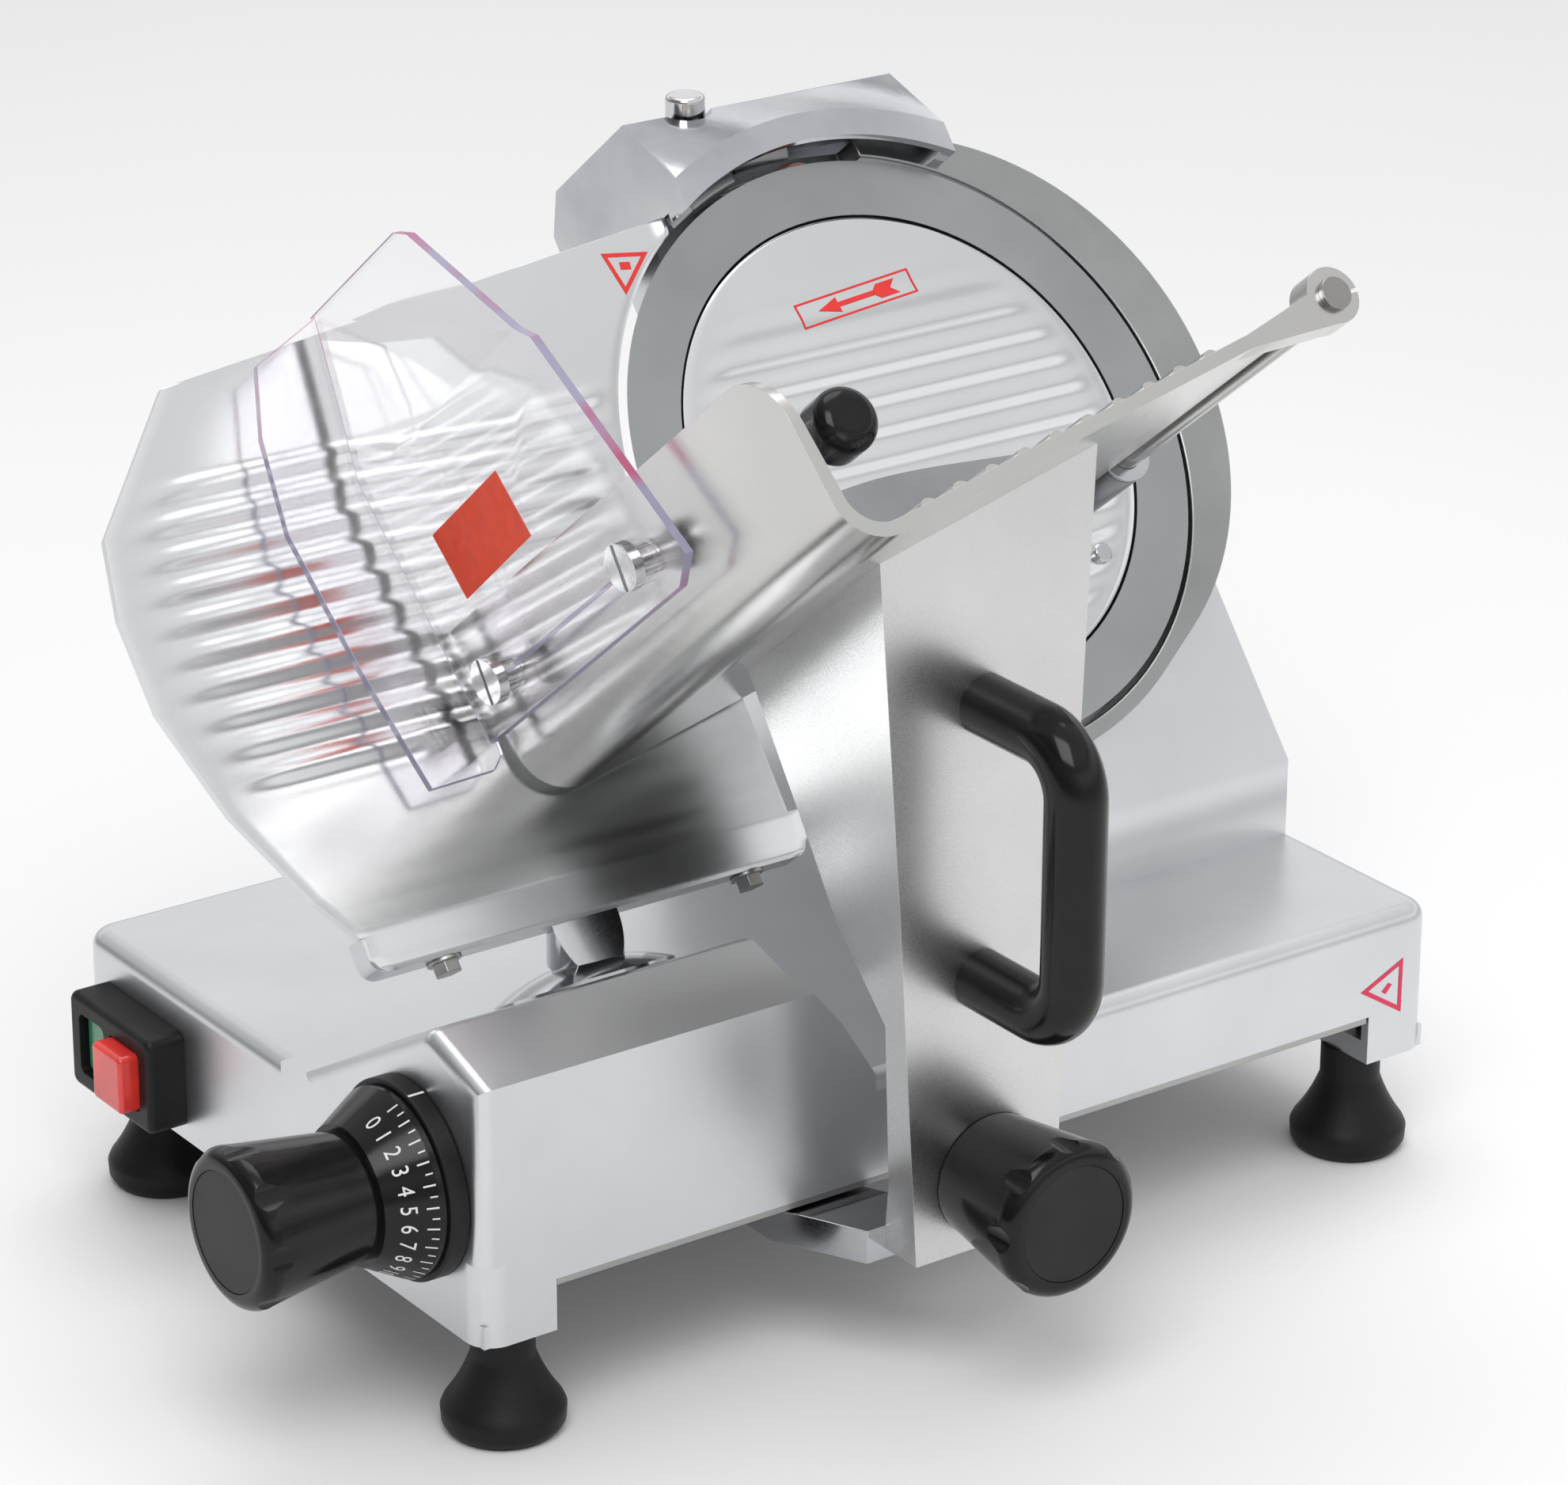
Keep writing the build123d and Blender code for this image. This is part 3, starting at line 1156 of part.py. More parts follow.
with BuildPart() as pusher_knob:
    with BuildSketch(BLADE.offset(PUSH_D + PUSH_T)):
        with Locations(KNOB_UV):
            Circle(8)
    extrude(amount=8)
    with BuildSketch(BLADE.offset(PUSH_D + PUSH_T + 8)):
        with Locations(KNOB_UV):
            Circle(13.5)
    extrude(amount=18)
    fillet(pusher_knob.edges().group_by(Axis(BLADE_CENTRE, NORMAL))[-1], 7)
save(pusher_knob.part, "pusher_knob")
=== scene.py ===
import json
from math import cos, degrees, pi, radians, sin, sqrt

import bmesh
import bpy
from mathutils import Matrix, Vector
from mathutils.bvhtree import BVHTree

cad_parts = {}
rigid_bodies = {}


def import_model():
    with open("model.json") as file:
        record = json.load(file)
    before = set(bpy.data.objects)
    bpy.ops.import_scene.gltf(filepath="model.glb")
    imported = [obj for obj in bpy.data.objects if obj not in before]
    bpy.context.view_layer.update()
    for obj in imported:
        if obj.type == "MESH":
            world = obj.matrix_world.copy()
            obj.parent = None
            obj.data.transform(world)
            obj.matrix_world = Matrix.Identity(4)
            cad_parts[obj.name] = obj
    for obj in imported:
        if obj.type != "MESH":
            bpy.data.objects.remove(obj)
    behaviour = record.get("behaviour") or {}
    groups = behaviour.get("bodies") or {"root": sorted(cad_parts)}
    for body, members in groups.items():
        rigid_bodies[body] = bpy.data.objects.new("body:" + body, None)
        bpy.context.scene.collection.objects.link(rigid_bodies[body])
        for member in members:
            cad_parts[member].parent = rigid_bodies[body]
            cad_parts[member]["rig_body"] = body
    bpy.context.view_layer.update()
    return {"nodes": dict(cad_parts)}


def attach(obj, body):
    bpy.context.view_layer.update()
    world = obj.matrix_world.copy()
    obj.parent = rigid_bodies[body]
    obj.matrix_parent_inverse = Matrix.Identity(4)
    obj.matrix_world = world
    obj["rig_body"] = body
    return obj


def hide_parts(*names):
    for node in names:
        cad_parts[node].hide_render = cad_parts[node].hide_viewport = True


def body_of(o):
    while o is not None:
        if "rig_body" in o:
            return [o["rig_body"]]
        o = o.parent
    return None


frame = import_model()
NODES = frame["nodes"]
MM = 0.001
MERGE = 2e-6  # metres; corners closer than this are one corner

# ---------------------------------------------------------------- frames, as in the CAD part
# All lengths below are in millimetres, and are scaled by MM where they meet Blender.
CENTRE = Vector((120.75, 61.6, 274.2))  # the blade's centre
BASE = Vector((-194.25, -107.4, 0.0))  # the base's front left corner, on the table
BLADE_LEAN = 39.1  # degrees back from upright
TILT = radians(90 - BLADE_LEAN)
NORMAL = Vector((0, -sin(TILT), cos(TILT)))
RISE = Vector((0, cos(TILT), sin(TILT)))
ACROSS = Vector((1, 0, 0))


def blade_point(u, v, d=0.0):
    """A point along X, up the blade's face and out of it, from the blade's centre."""
    return CENTRE + ACROSS * u + RISE * v + NORMAL * d


def base_point(x, y, z):
    """A point from the base's left face, its front face and the table."""
    return BASE + Vector((x, y, z))


# the tray's left wall leans outwards as it rises: sine and cosine, and a point on its outer side
WALL_SIN, WALL_COS = 0.11399, 0.99348
WALL_U, WALL_V = -228.0, -27.0
OUTWARDS = -ACROSS * WALL_COS - RISE * WALL_SIN


def wall_side(d, v, out):
    """A point on the tray wall's outer side, this far out."""
    return blade_point(WALL_U - (v - WALL_V) * WALL_SIN / WALL_COS - out / WALL_COS, v, d)


# ---------------------------------------------------------------- general helpers
def add_loose(name, data):
    """An object in the scene that belongs to no body yet."""
    obj = bpy.data.objects.new(name, data)
    bpy.context.scene.collection.objects.link(obj)
    return obj


def made_mesh(name, bm):
    """A new mesh from a bmesh, which is freed."""
    mesh = bpy.data.meshes.new(name)
    bm.to_mesh(mesh)
    bm.free()
    return mesh


def evaluated_mesh(obj):
    """A new mesh with the object's modifiers or text turned into faces."""
    bpy.context.view_layer.update()
    graph = bpy.context.evaluated_depsgraph_get()
    return bpy.data.meshes.new_from_object(obj.evaluated_get(graph))


def axes(x, y, z):
    """The rotation that takes the world's axes to these three."""
    return Matrix((x, y, z)).transposed().to_4x4()


def moved(point, turn):
    """A turn followed by a move to a point."""
    return Matrix.Translation(point * MM) @ turn


# ---------------------------------------------------------------- camera
def make_camera():
    data = bpy.data.cameras.new("camera")
    data.sensor_width = 36.0
    data.lens = 133.08
    data.clip_start, data.clip_end = 0.05, 50
    azimuth, elevation, roll = radians(-35.61), radians(22.47), radians(0.24)
    place = base_point(-979.5, -1551.2, 1039.7)
    back = Vector((sin(azimuth) * cos(elevation), -cos(azimuth) * cos(elevation), sin(elevation)))
    right = Vector((0, 0, 1)).cross(back).normalized()
    up = back.cross(right)
    right, up = right * cos(roll) + up * sin(roll), up * cos(roll) - right * sin(roll)
    camera = add_loose("camera", data)
    camera.matrix_world = moved(place, axes(right, up, back))
    bpy.context.scene.camera = camera


# ---------------------------------------------------------------- materials
class Nodes:
    """Short calls for building a material's nodes."""

    def __init__(self, name):
        self.material = bpy.data.materials.new(name)
        self.material.use_nodes = True
        self.tree = self.material.node_tree
        self.shader = self.tree.nodes["Principled BSDF"]
        self.coords = self.add("ShaderNodeTexCoord").outputs["Object"]

    def add(self, kind, **values):
        node = self.tree.nodes.new(kind)
        for key, value in values.items():
            setattr(node, key, value)
        return node

    def link(self, source, target):
        self.tree.links.new(source, target)

    def stretched(self, scale, coords=None):
        mapping = self.add("ShaderNodeMapping")
        mapping.inputs["Scale"].default_value = scale
        self.link(coords or self.coords, mapping.inputs["Vector"])
        return mapping.outputs["Vector"]

    def noise(self, scale, detail=3.0, roughness=0.55, coords=None):
        node = self.add("ShaderNodeTexNoise")
        node.inputs["Scale"].default_value = scale
        node.inputs["Detail"].default_value = detail
        node.inputs["Roughness"].default_value = roughness
        self.link(coords or self.coords, node.inputs["Vector"])
        return node.outputs["Fac"]

    def ramp(self, source, low, high, start=0.3, end=0.7):
        node = self.add("ShaderNodeMapRange")
        node.inputs["From Min"].default_value = start
        node.inputs["From Max"].default_value = end
        node.inputs["To Min"].default_value = low
        node.inputs["To Max"].default_value = high
        self.link(source, node.inputs["Value"])
        return node.outputs["Result"]

    def mix(self, factor, first, second):
        node = self.add("ShaderNodeMix", data_type="RGBA")
        self.link(factor, node.inputs["Factor"])
        node.inputs["A"].default_value = (*first, 1)
        node.inputs["B"].default_value = (*second, 1)
        return node.outputs["Result"]

    def clouds(self, scale, detail, first, second):
        """A base colour that drifts between two colours."""
        self.set("Base Color", self.mix(self.ramp(self.noise(scale, detail), 0, 1), first, second))

    def bump(self, height, strength, distance, normal=None):
        node = self.add("ShaderNodeBump")
        node.inputs["Strength"].default_value = strength
        node.inputs["Distance"].default_value = distance
        self.link(height, node.inputs["Height"])
        if normal:
            self.link(normal, node.inputs["Normal"])
        return node.outputs["Normal"]

    def set(self, name, value):
        """Set one of the shader's sockets, to a constant or from a node's output."""
        socket = self.shader.inputs[name]
        if hasattr(value, "is_linked"):
            self.link(value, socket)
        else:
            socket.default_value = value


def cast_metal(name, light, dark, rough, grain=1.0):
    """Bead-blasted casting: fine sparkle, slow tone changes and faint handling marks."""
    m = Nodes(name)
    m.set("Metallic", 1.0)
    m.clouds(14.0, 4.0, dark, light)
    speck = m.noise(2600.0, 2.0, 0.6)
    m.set("Roughness", m.ramp(speck, rough - 0.05, rough + 0.07, 0.35, 0.65))
    fine = m.bump(speck, 0.06 * grain, 0.0001)
    m.set("Normal", m.bump(m.noise(55.0, 2.0), 0.035 * grain, 0.0006, fine))
    return m.material


def brushed_metal(name, light, dark, rough, scale):
    """Rolled or brushed sheet: its gloss changes in fine lines along one direction."""
    m = Nodes(name)
    m.set("Metallic", 1.0)
    lines = m.noise(1.0, 3.0, 0.6, m.stretched(scale))
    m.clouds(9.0, 3.0, dark, light)
    m.set("Roughness", m.ramp(lines, rough - 0.02, rough + 0.03))
    return m.material


def turned_metal(name, light, dark, rough, strength):
    """Ground disc: rings round the blade's axis."""
    m = Nodes(name)
    m.set("Metallic", 1.0)
    shift = m.add("ShaderNodeVectorMath", operation="SUBTRACT")
    shift.inputs[1].default_value = CENTRE * MM
    m.link(m.coords, shift.inputs[0])
    along = m.add("ShaderNodeVectorMath", operation="DOT_PRODUCT")
    m.link(shift.outputs["Vector"], along.inputs[0])
    along.inputs[1].default_value = NORMAL
    length = m.add("ShaderNodeVectorMath", operation="LENGTH")
    m.link(shift.outputs["Vector"], length.inputs[0])
    rings = m.add("ShaderNodeCombineXYZ")
    m.link(length.outputs["Value"], rings.inputs["X"])
    m.link(along.outputs["Value"], rings.inputs["Y"])
    lines = m.noise(1.0, 4.0, 0.7, m.stretched((2600, 0, 0), rings.outputs["Vector"]))
    m.clouds(16.0, 4.0, dark, light)
    m.set("Roughness", m.ramp(lines, rough - 0.05, rough + 0.08))
    m.set("Normal", m.bump(lines, strength, 0.00001))
    return m.material


def polymer(name, colour, rough, coat=0.0, grain=0.1, marks=0.05, scale=900.0, shine=0.5):
    """Moulded plastic or rubber with a fine grain and uneven gloss."""
    m = Nodes(name)
    tone = tuple(min(1.0, c * 1.35 + 0.004) for c in colour)
    m.clouds(40.0, 3.0, colour, tone)
    m.set("Roughness", m.ramp(m.noise(22.0, 5.0), rough, rough + marks))
    m.set("Coat Weight", coat)
    m.set("Coat Roughness", 0.06)
    m.set("Specular IOR Level", shine)
    m.set("Normal", m.bump(m.noise(scale, 2.0), grain, 0.00015))
    return m.material


def clear_plastic(name, tint):
    """Clear sheet with slightly uneven gloss."""
    m = Nodes(name)
    m.set("Base Color", (*tint, 1))
    m.set("Transmission Weight", 1.0)
    m.set("IOR", 1.49)
    m.set("Roughness", m.ramp(m.noise(30.0, 3.0), 0.03, 0.05))
    return m.material


def printed(name, colour, rough=0.4):
    """Printed film or ink."""
    m = Nodes(name)
    m.clouds(220.0, 3.0, colour, tuple(c * 0.85 for c in colour))
    m.set("Roughness", m.ramp(m.noise(90.0, 2.0), rough, rough + 0.1))
    return m.material


def guard_edge():
    """The clear guard's cut edges are tinted violet, with patches of painted red reflection higher
    up.
    """
    m = Nodes("guard_edge")
    split = m.add("ShaderNodeSeparateXYZ")
    m.link(m.coords, split.inputs["Vector"])
    band = m.ramp(split.outputs["Z"], 0.0, 1.0, 0.30, 0.36)
    cloud = m.ramp(m.noise(25.0, 2.0), 0.0, 1.0, 0.45, 0.6)
    red_reflection_mask = m.add("ShaderNodeMath", operation="MULTIPLY")
    m.link(band, red_reflection_mask.inputs[0])
    m.link(cloud, red_reflection_mask.inputs[1])
    # violet edge tint, turning to a painted red reflection in noisy patches above about 0.33 m
    m.set("Base Color", m.mix(red_reflection_mask.outputs["Value"], (0.60, 0.57, 0.80), (0.80, 0.16, 0.36)))
    m.set("Transmission Weight", 0.5)
    m.set("Roughness", m.ramp(m.noise(60.0, 3.0), 0.12, 0.25))
    return m.material


CAST = cast_metal("cast_satin", (0.71, 0.72, 0.735), (0.65, 0.66, 0.675), 0.33)
ARM_CAST = cast_metal("cast_linished", (0.70, 0.70, 0.695), (0.63, 0.63, 0.625), 0.30, 0.7)
SHEET = brushed_metal("plate_brushed", (0.72, 0.73, 0.74), (0.67, 0.68, 0.69), 0.22,
                      (4, 160, 160))
TRAY_SHEET = brushed_metal("tray_brushed", (0.64, 0.635, 0.62), (0.58, 0.575, 0.56), 0.22,
                           (250, 15, 250))
POLISHED = cast_metal("polished_cast", (0.64, 0.65, 0.67), (0.44, 0.45, 0.48), 0.12, 0.4)
DARK_POLISHED = cast_metal("polished_dark", (0.44, 0.45, 0.46), (0.32, 0.33, 0.34), 0.16, 0.5)
BLADE_STEEL = turned_metal("blade_steel", (0.40, 0.415, 0.42), (0.34, 0.355, 0.36), 0.30, 0.1)
RING_STEEL = cast_metal("ring_satin", (0.40, 0.405, 0.405), (0.31, 0.315, 0.315), 0.32, 0.6)
STEEL = brushed_metal("steel_sheet", (0.45, 0.45, 0.44), (0.36, 0.35, 0.34), 0.38,
                      (25, 600, 600))
CHROME = cast_metal("bright_steel", (0.70, 0.70, 0.71), (0.62, 0.62, 0.63), 0.12, 0.2)
ROD_CHROME = cast_metal("rod_steel", (0.45, 0.44, 0.42), (0.32, 0.31, 0.30), 0.13, 0.3)
IRON = cast_metal("dark_iron", (0.12, 0.12, 0.125), (0.07, 0.07, 0.075), 0.5, 1.5)
BLACK = polymer("black_gloss", (0.004, 0.004, 0.0045), 0.13, grain=0.01, marks=0.06, shine=0.28)
BLACK_MATTE = polymer("black_satin", (0.006, 0.006, 0.0065), 0.42, grain=0.08, shine=0.25)
DISC_BLACK = polymer("black_disc", (0.008, 0.008, 0.0085), 0.42, grain=0.05, shine=0.3)
RUBBER = polymer("foot_rubber", (0.006, 0.006, 0.0065), 0.45, shine=0.25)
PALE_PLASTIC = polymer("pale_plastic", (0.70, 0.70, 0.66), 0.4)
BRONZE = cast_metal("bush_bronze", (0.60, 0.42, 0.20), (0.48, 0.33, 0.15), 0.3)
STONE = polymer("abrasive", (0.35, 0.16, 0.12), 0.85, grain=0.9, scale=1500.0)
GREEN = polymer("button_green", (0.010, 0.19, 0.075), 0.25, coat=0.6, grain=0.02)
RED = polymer("button_red", (0.66, 0.030, 0.022), 0.20, coat=0.6, grain=0.02)
CLEAR = clear_plastic("guard_clear", (0.985, 0.975, 0.995))
PRINT_RED = printed("print_red", (0.80, 0.025, 0.020))
PRINT_LABEL = printed("print_label", (0.86, 0.065, 0.018))
PRINT_PINK = printed("print_pink", (0.80, 0.03, 0.10))
PRINT_WHITE = printed("print_white", (0.80, 0.80, 0.78), 0.5)

LOOKS = {
    CAST: ["base_casting", "motor_housing"],
    ARM_CAST: ["carriage_arm"],
    SHEET: ["gauge_plate", "blade_cover"],
    TRAY_SHEET: ["tray"],
    POLISHED: ["sharpener_cover", "gauge_support", "gauge_post", "cover_peg", "slider_block",
               "slide_block", "pusher_bush"],
    DARK_POLISHED: ["pusher", "motor_plate", "sharpener_bracket"],
    BLADE_STEEL: ["blade"],
    RING_STEEL: ["guard_ring"],
    STEEL: ["bottom_plate", "slide_guide_bar", "rod_brackets", "guide_rail", "gauge_bolts",
            "foot_studs"],
    CHROME: ["guide_rod", "blade_shaft", "blade_screws", "cover_tie_rod", "guard_screws",
             "sharpener_button", "stone_spindle", "index_shaft", "bearings"],
    ROD_CHROME: ["pusher_rod"],
    IRON: ["blade_pulley", "motor_pulley", "motor_body", "index_cam"],
    BLACK: ["dial_knob", "lock_knob", "handle", "pusher_knob", "cover_knob"],
    BLACK_MATTE: ["switch_housing", "cord_gland", "dial_ring"],
    DISC_BLACK: ["dial_cap", "lock_cap"],
    RUBBER: ["foot_front_left", "foot_front_right", "foot_back_left", "foot_back_right",
             "drive_belt"],
    PALE_PLASTIC: ["rail_shoe"],
    BRONZE: ["slider_bushes"],
    STONE: ["sharpening_stone"],
    GREEN: ["start_button"],
    RED: ["stop_button"],
    CLEAR: ["clear_guard", "guard_spacers"],
}


def dress_nodes():
    """Give every CAD node its material."""
    for look, names in LOOKS.items():
        for name in names:
            for slot in NODES[name].material_slots:
                slot.material = look


# ---------------------------------------------------------------- pieces
FLAT_ANGLE = 0.4  # degrees; flatter neighbours become one face
SHARP_ANGLE = 28.0  # degrees; sharper edges are rounded
PLAIN_SMOOTH, BEVEL_SMOOTH, SHEET_SMOOTH = 32, 40, 50  # degrees; sharper edges stay sharp in light


def add_object(name, mesh, material, body):
    obj = add_loose(name, mesh)
    obj.data.materials.clear()
    obj.data.materials.append(material)
    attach(obj, body)
    return obj


def stand_in(name, mesh, nodes):
    """A piece that stands for CAD nodes, on the first one's body and in its material."""
    source = NODES[nodes[0]]
    piece = add_object(name, mesh, source.material_slots[0].material, body_of(source)[0])
    for node in nodes:
        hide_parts(node)
    return piece


def smooth_by_angle(mesh, angle):
    """Smooth shading that stays sharp where faces meet at more than the angle."""
    bm = bmesh.new()
    bm.from_mesh(mesh)
    for face in bm.faces:
        face.smooth = True
    for edge in bm.edges:
        edge.smooth = not (edge.is_manifold and edge.calc_face_angle(0.0) > radians(angle))
    bm.to_mesh(mesh)
    bm.free()


def merge_corners(bm):
    bmesh.ops.remove_doubles(bm, verts=bm.verts, dist=MERGE)


def round_edges(bm, edges, radius, segments, mitre):
    bmesh.ops.bevel(bm, geom=edges, offset=radius * MM, offset_type="OFFSET", segments=segments,
                    profile=0.5, affect="EDGES", clamp_overlap=True, miter_outer=mitre)


def working_copy(node):
    """A loose object with a CAD node's shape, for boolean work."""
    mesh = NODES[node].data.copy()
    bm = bmesh.new()
    bm.from_mesh(mesh)
    merge_corners(bm)
    bm.to_mesh(mesh)
    bm.free()
    return add_loose(node + "_work", mesh)


def combine(target, tool, operation):
    """Apply a boolean to the target and remove the tool."""
    modifier = target.modifiers.new("boolean", "BOOLEAN")
    modifier.operation = operation
    modifier.solver = "EXACT"
    modifier.object = tool
    result = evaluated_mesh(target)
    target.modifiers.clear()
    target.data = result
    bpy.data.objects.remove(tool)


def finished(name, mesh, nodes, bevel, seam=None, seam_bevel=0.0):
    """A piece with clean faces, rounded edges and smooth shading, which stands for CAD nodes."""
    bm = bmesh.new()
    bm.from_mesh(mesh)
    merge_corners(bm)
    bmesh.ops.dissolve_limit(bm, angle_limit=radians(FLAT_ANGLE), verts=bm.verts, edges=bm.edges)
    if seam:
        round_edges(bm, [e for e in bm.edges if seam(e)], seam_bevel, 6, "SHARP")
    if bevel:
        sharp = [e for e in bm.edges
                 if e.is_manifold and e.calc_face_angle(0.0) > radians(SHARP_ANGLE)]
        round_edges(bm, sharp, bevel, 3, "ARC")
        merge_corners(bm)
    bm.to_mesh(mesh)
    bm.free()
    smooth_by_angle(mesh, BEVEL_SMOOTH if bevel else PLAIN_SMOOTH)
    piece = stand_in(name, mesh, nodes)
    weighted = piece.modifiers.new("normals", "WEIGHTED_NORMAL")
    weighted.keep_sharp = True
    return piece


def refined(node, bevel):
    """A piece for one node, with its own shape and rounded edges."""
    mesh = NODES[node].data.copy()
    mesh.name = node + "_fine"
    return finished(node + "_fine", mesh, [node], bevel)


def box(low, high):
    """A loose box between two points."""
    bm = bmesh.new()
    bmesh.ops.create_cube(bm, size=1.0)
    for vert in bm.verts:
        vert.co = Vector([(low[k] if vert.co[k] < 0 else high[k]) * MM for k in range(3)])
    return add_loose("box", made_mesh("box", bm))


# ---------------------------------------------------------------- the casting
BASE_TOP = 107.5  # height of the base's flat top
HOUSING_FRONT, HOUSING_LEFT = 85.5, 265.0  # faces of the motor housing that stands on it
HOUSING_RIGHT, HOUSING_BACK = 444.0, 280.0  # the soft seam goes no further than these
SEAM_TOLERANCE = 0.05
HOUSING_SINK = 2.0  # the housing's foot goes this far into the base before they are joined


def on_seam(edge):
    """Whether an edge is where the housing's front or left face meets the base's top."""
    ends = [(v.co / MM - BASE) for v in edge.verts]
    flat = all(abs(p.z - BASE_TOP) < SEAM_TOLERANCE for p in ends)
    front = all(abs(p.y - HOUSING_FRONT) < SEAM_TOLERANCE
                and HOUSING_LEFT - 1 < p.x < HOUSING_RIGHT for p in ends)
    left = all(abs(p.x - HOUSING_LEFT) < SEAM_TOLERANCE
               and HOUSING_FRONT - 0.5 < p.y < HOUSING_BACK for p in ends)
    return flat and (front or left)


def cast_body():
    """The base and the motor housing as one casting, with a soft seam between them."""
    body = working_copy("base_casting")
    housing = working_copy("motor_housing")
    for vert in housing.data.vertices:
        if abs(vert.co.z / MM - BASE_TOP) < 0.01:
            vert.co.z -= HOUSING_SINK * MM
    combine(body, housing, "UNION")
    piece = finished("casting_fine", body.data, ["base_casting", "motor_housing"], 1.5,
                     seam=on_seam, seam_bevel=4.0)
    bpy.data.objects.remove(body)
    return piece


# ---------------------------------------------------------------- the two waved sheets
WAVE_PITCH = 12.5
WAVE_LOW_POINT = 57.0  # v of a valley; the same for both sheets


def wave(v):
    """Soft ribs along X: 0 in a valley and 1 on a crest."""
    return 0.5 - 0.5 * cos(2 * pi * (v - WAVE_LOW_POINT) / WAVE_PITCH)


def fade(distance, width):
    """0 at an edge and 1 from this width inwards, eased at both ends."""
    t = min(1.0, max(0.0, distance / width))
    return t * t * (3 - 2 * t)


def waved_plate(node, rows, front, back, height, columns=72):
    """A sheet whose rows (v, left, right) run across the blade's frame.

    Its front and back lie this far out of the blade's plane, and height(u, v) raises the front.
    """
    bm = bmesh.new()
    faces = []
    for level in ("front", "back"):
        grid = []
        for v, left, right in rows:
            line = []
            for step in range(columns + 1):
                u = left + (right - left) * step / columns
                d = front + height(u, v) if level == "front" else back
                line.append(bm.verts.new(blade_point(u, v, d) * MM))
            grid.append(line)
        faces.append(grid)
    top, low = faces
    last = len(rows) - 1
    for i in range(last):
        for j in range(columns):
            bm.faces.new((top[i][j], top[i][j + 1], top[i + 1][j + 1], top[i + 1][j]))
            bm.faces.new((low[i][j], low[i + 1][j], low[i + 1][j + 1], low[i][j + 1]))
        for j in (0, columns):
            bm.faces.new((top[i][j], top[i + 1][j], low[i + 1][j], low[i][j]))
    for i in (0, last):
        for j in range(columns):
            bm.faces.new((top[i][j], low[i][j], low[i][j + 1], top[i][j + 1]))
    bmesh.ops.recalc_face_normals(bm, faces=bm.faces)
    mesh = made_mesh(node + "_fine", bm)
    smooth_by_angle(mesh, SHEET_SMOOTH)
    return stand_in(node + "_fine", mesh, [node])


# the gauge plate's two sides as (v, u) corners; an arc round the blade goes on from the right one
GAUGE_LEFT = [(-143, -300), (-141, -303.5), (-137, -306), (-129.05, -306), (-129, -308),
              (-112, -320), (-73, -340), (-29.5, -353), (8, -354), (38.5, -348), (90, -304),
              (115.5, -69.4)]
GAUGE_RIGHT = [(-143, -118), (-141, -114.5), (-137, -112), (-126.05, -112), (-126, -117),
               (-68, -117), (-59.3, -114)]
ARC_LOW, ARC_HIGH, ARC_RADIUS = -59.3, 108.4, 128.5  # from v to v, and its radius
TIP_U = -69.0  # the right side above the arc
GAUGE_LOW, ROW_STEP, ROW_COUNT = -143, 1.25, 207
RIBS_LOW, RIBS_HIGH = -72, 60  # the waves lie between these v
LIP_TOP, LIP_HEIGHT, LIP_LEAN = -127, 16, 2.8  # the lip leans back below this v
HEM_TOP, HEM_HEIGHT, HEM_DROP = -141, 2, 0.7  # its lowest edge is rounded over


def along(table, v):
    """Interpolate a side given as (v, u) corners."""
    for (v0, u0), (v1, u1) in zip(table, table[1:]):
        if v <= v1:
            return u0 + (u1 - u0) * (v - v0) / (v1 - v0)
    return table[-1][1]


def gauge_right(v):
    if v <= ARC_LOW:
        return along(GAUGE_RIGHT, v)
    if v < ARC_HIGH:
        return -sqrt(ARC_RADIUS ** 2 - v * v)
    return TIP_U


def gauge_height(u, v):
    """Waves that die out towards the sides, rounded edges and the leaning lip."""
    from_left, from_right = u - along(GAUGE_LEFT, v), gauge_right(v) - u
    sides = fade(from_left - 3, 30) * fade(from_right - 4, 14)
    ends = sides * fade(RIBS_HIGH - v, 6) * fade(v - RIBS_LOW, 6)
    edge = 0.5 * (1 - fade(min(from_left, from_right), 1.2))
    lip = LIP_LEAN * max(0.0, LIP_TOP - v) / LIP_HEIGHT
    hem = HEM_DROP * max(0.0, HEM_TOP - v) / HEM_HEIGHT
    return 1.3 * wave(v) * ends - edge - (lip + hem)


def gauge_piece():
    corners = {v for v, _ in GAUGE_LEFT + GAUGE_RIGHT}
    levels = sorted(corners | {GAUGE_LOW + ROW_STEP * k for k in range(ROW_COUNT)})
    rows = [(v, along(GAUGE_LEFT, v), gauge_right(v)) for v in levels]
    return waved_plate("gauge_plate", rows, -0.5, -4.5, gauge_height)


COVER_RADIUS = 100.6  # of the blade cover


def cover_height(u, v):
    """Waves that die out towards the rim and the top, and a rounded rim."""
    reach = COVER_RADIUS - sqrt(u * u + v * v)
    rim = 0.6 * (1 - fade(reach, 0.9))
    return 1.25 * wave(v) * fade(reach - 4, 14) * fade(80 - v, 45) - rim


def cover_piece():
    levels = [-COVER_RADIUS * cos(pi * k / 180) for k in range(1, 180)]
    halves = [(v, sqrt(COVER_RADIUS ** 2 - v * v)) for v in levels]
    rows = [(v, -half, half) for v, half in halves]
    return waved_plate("blade_cover", rows, -0.6, -4.0, cover_height)


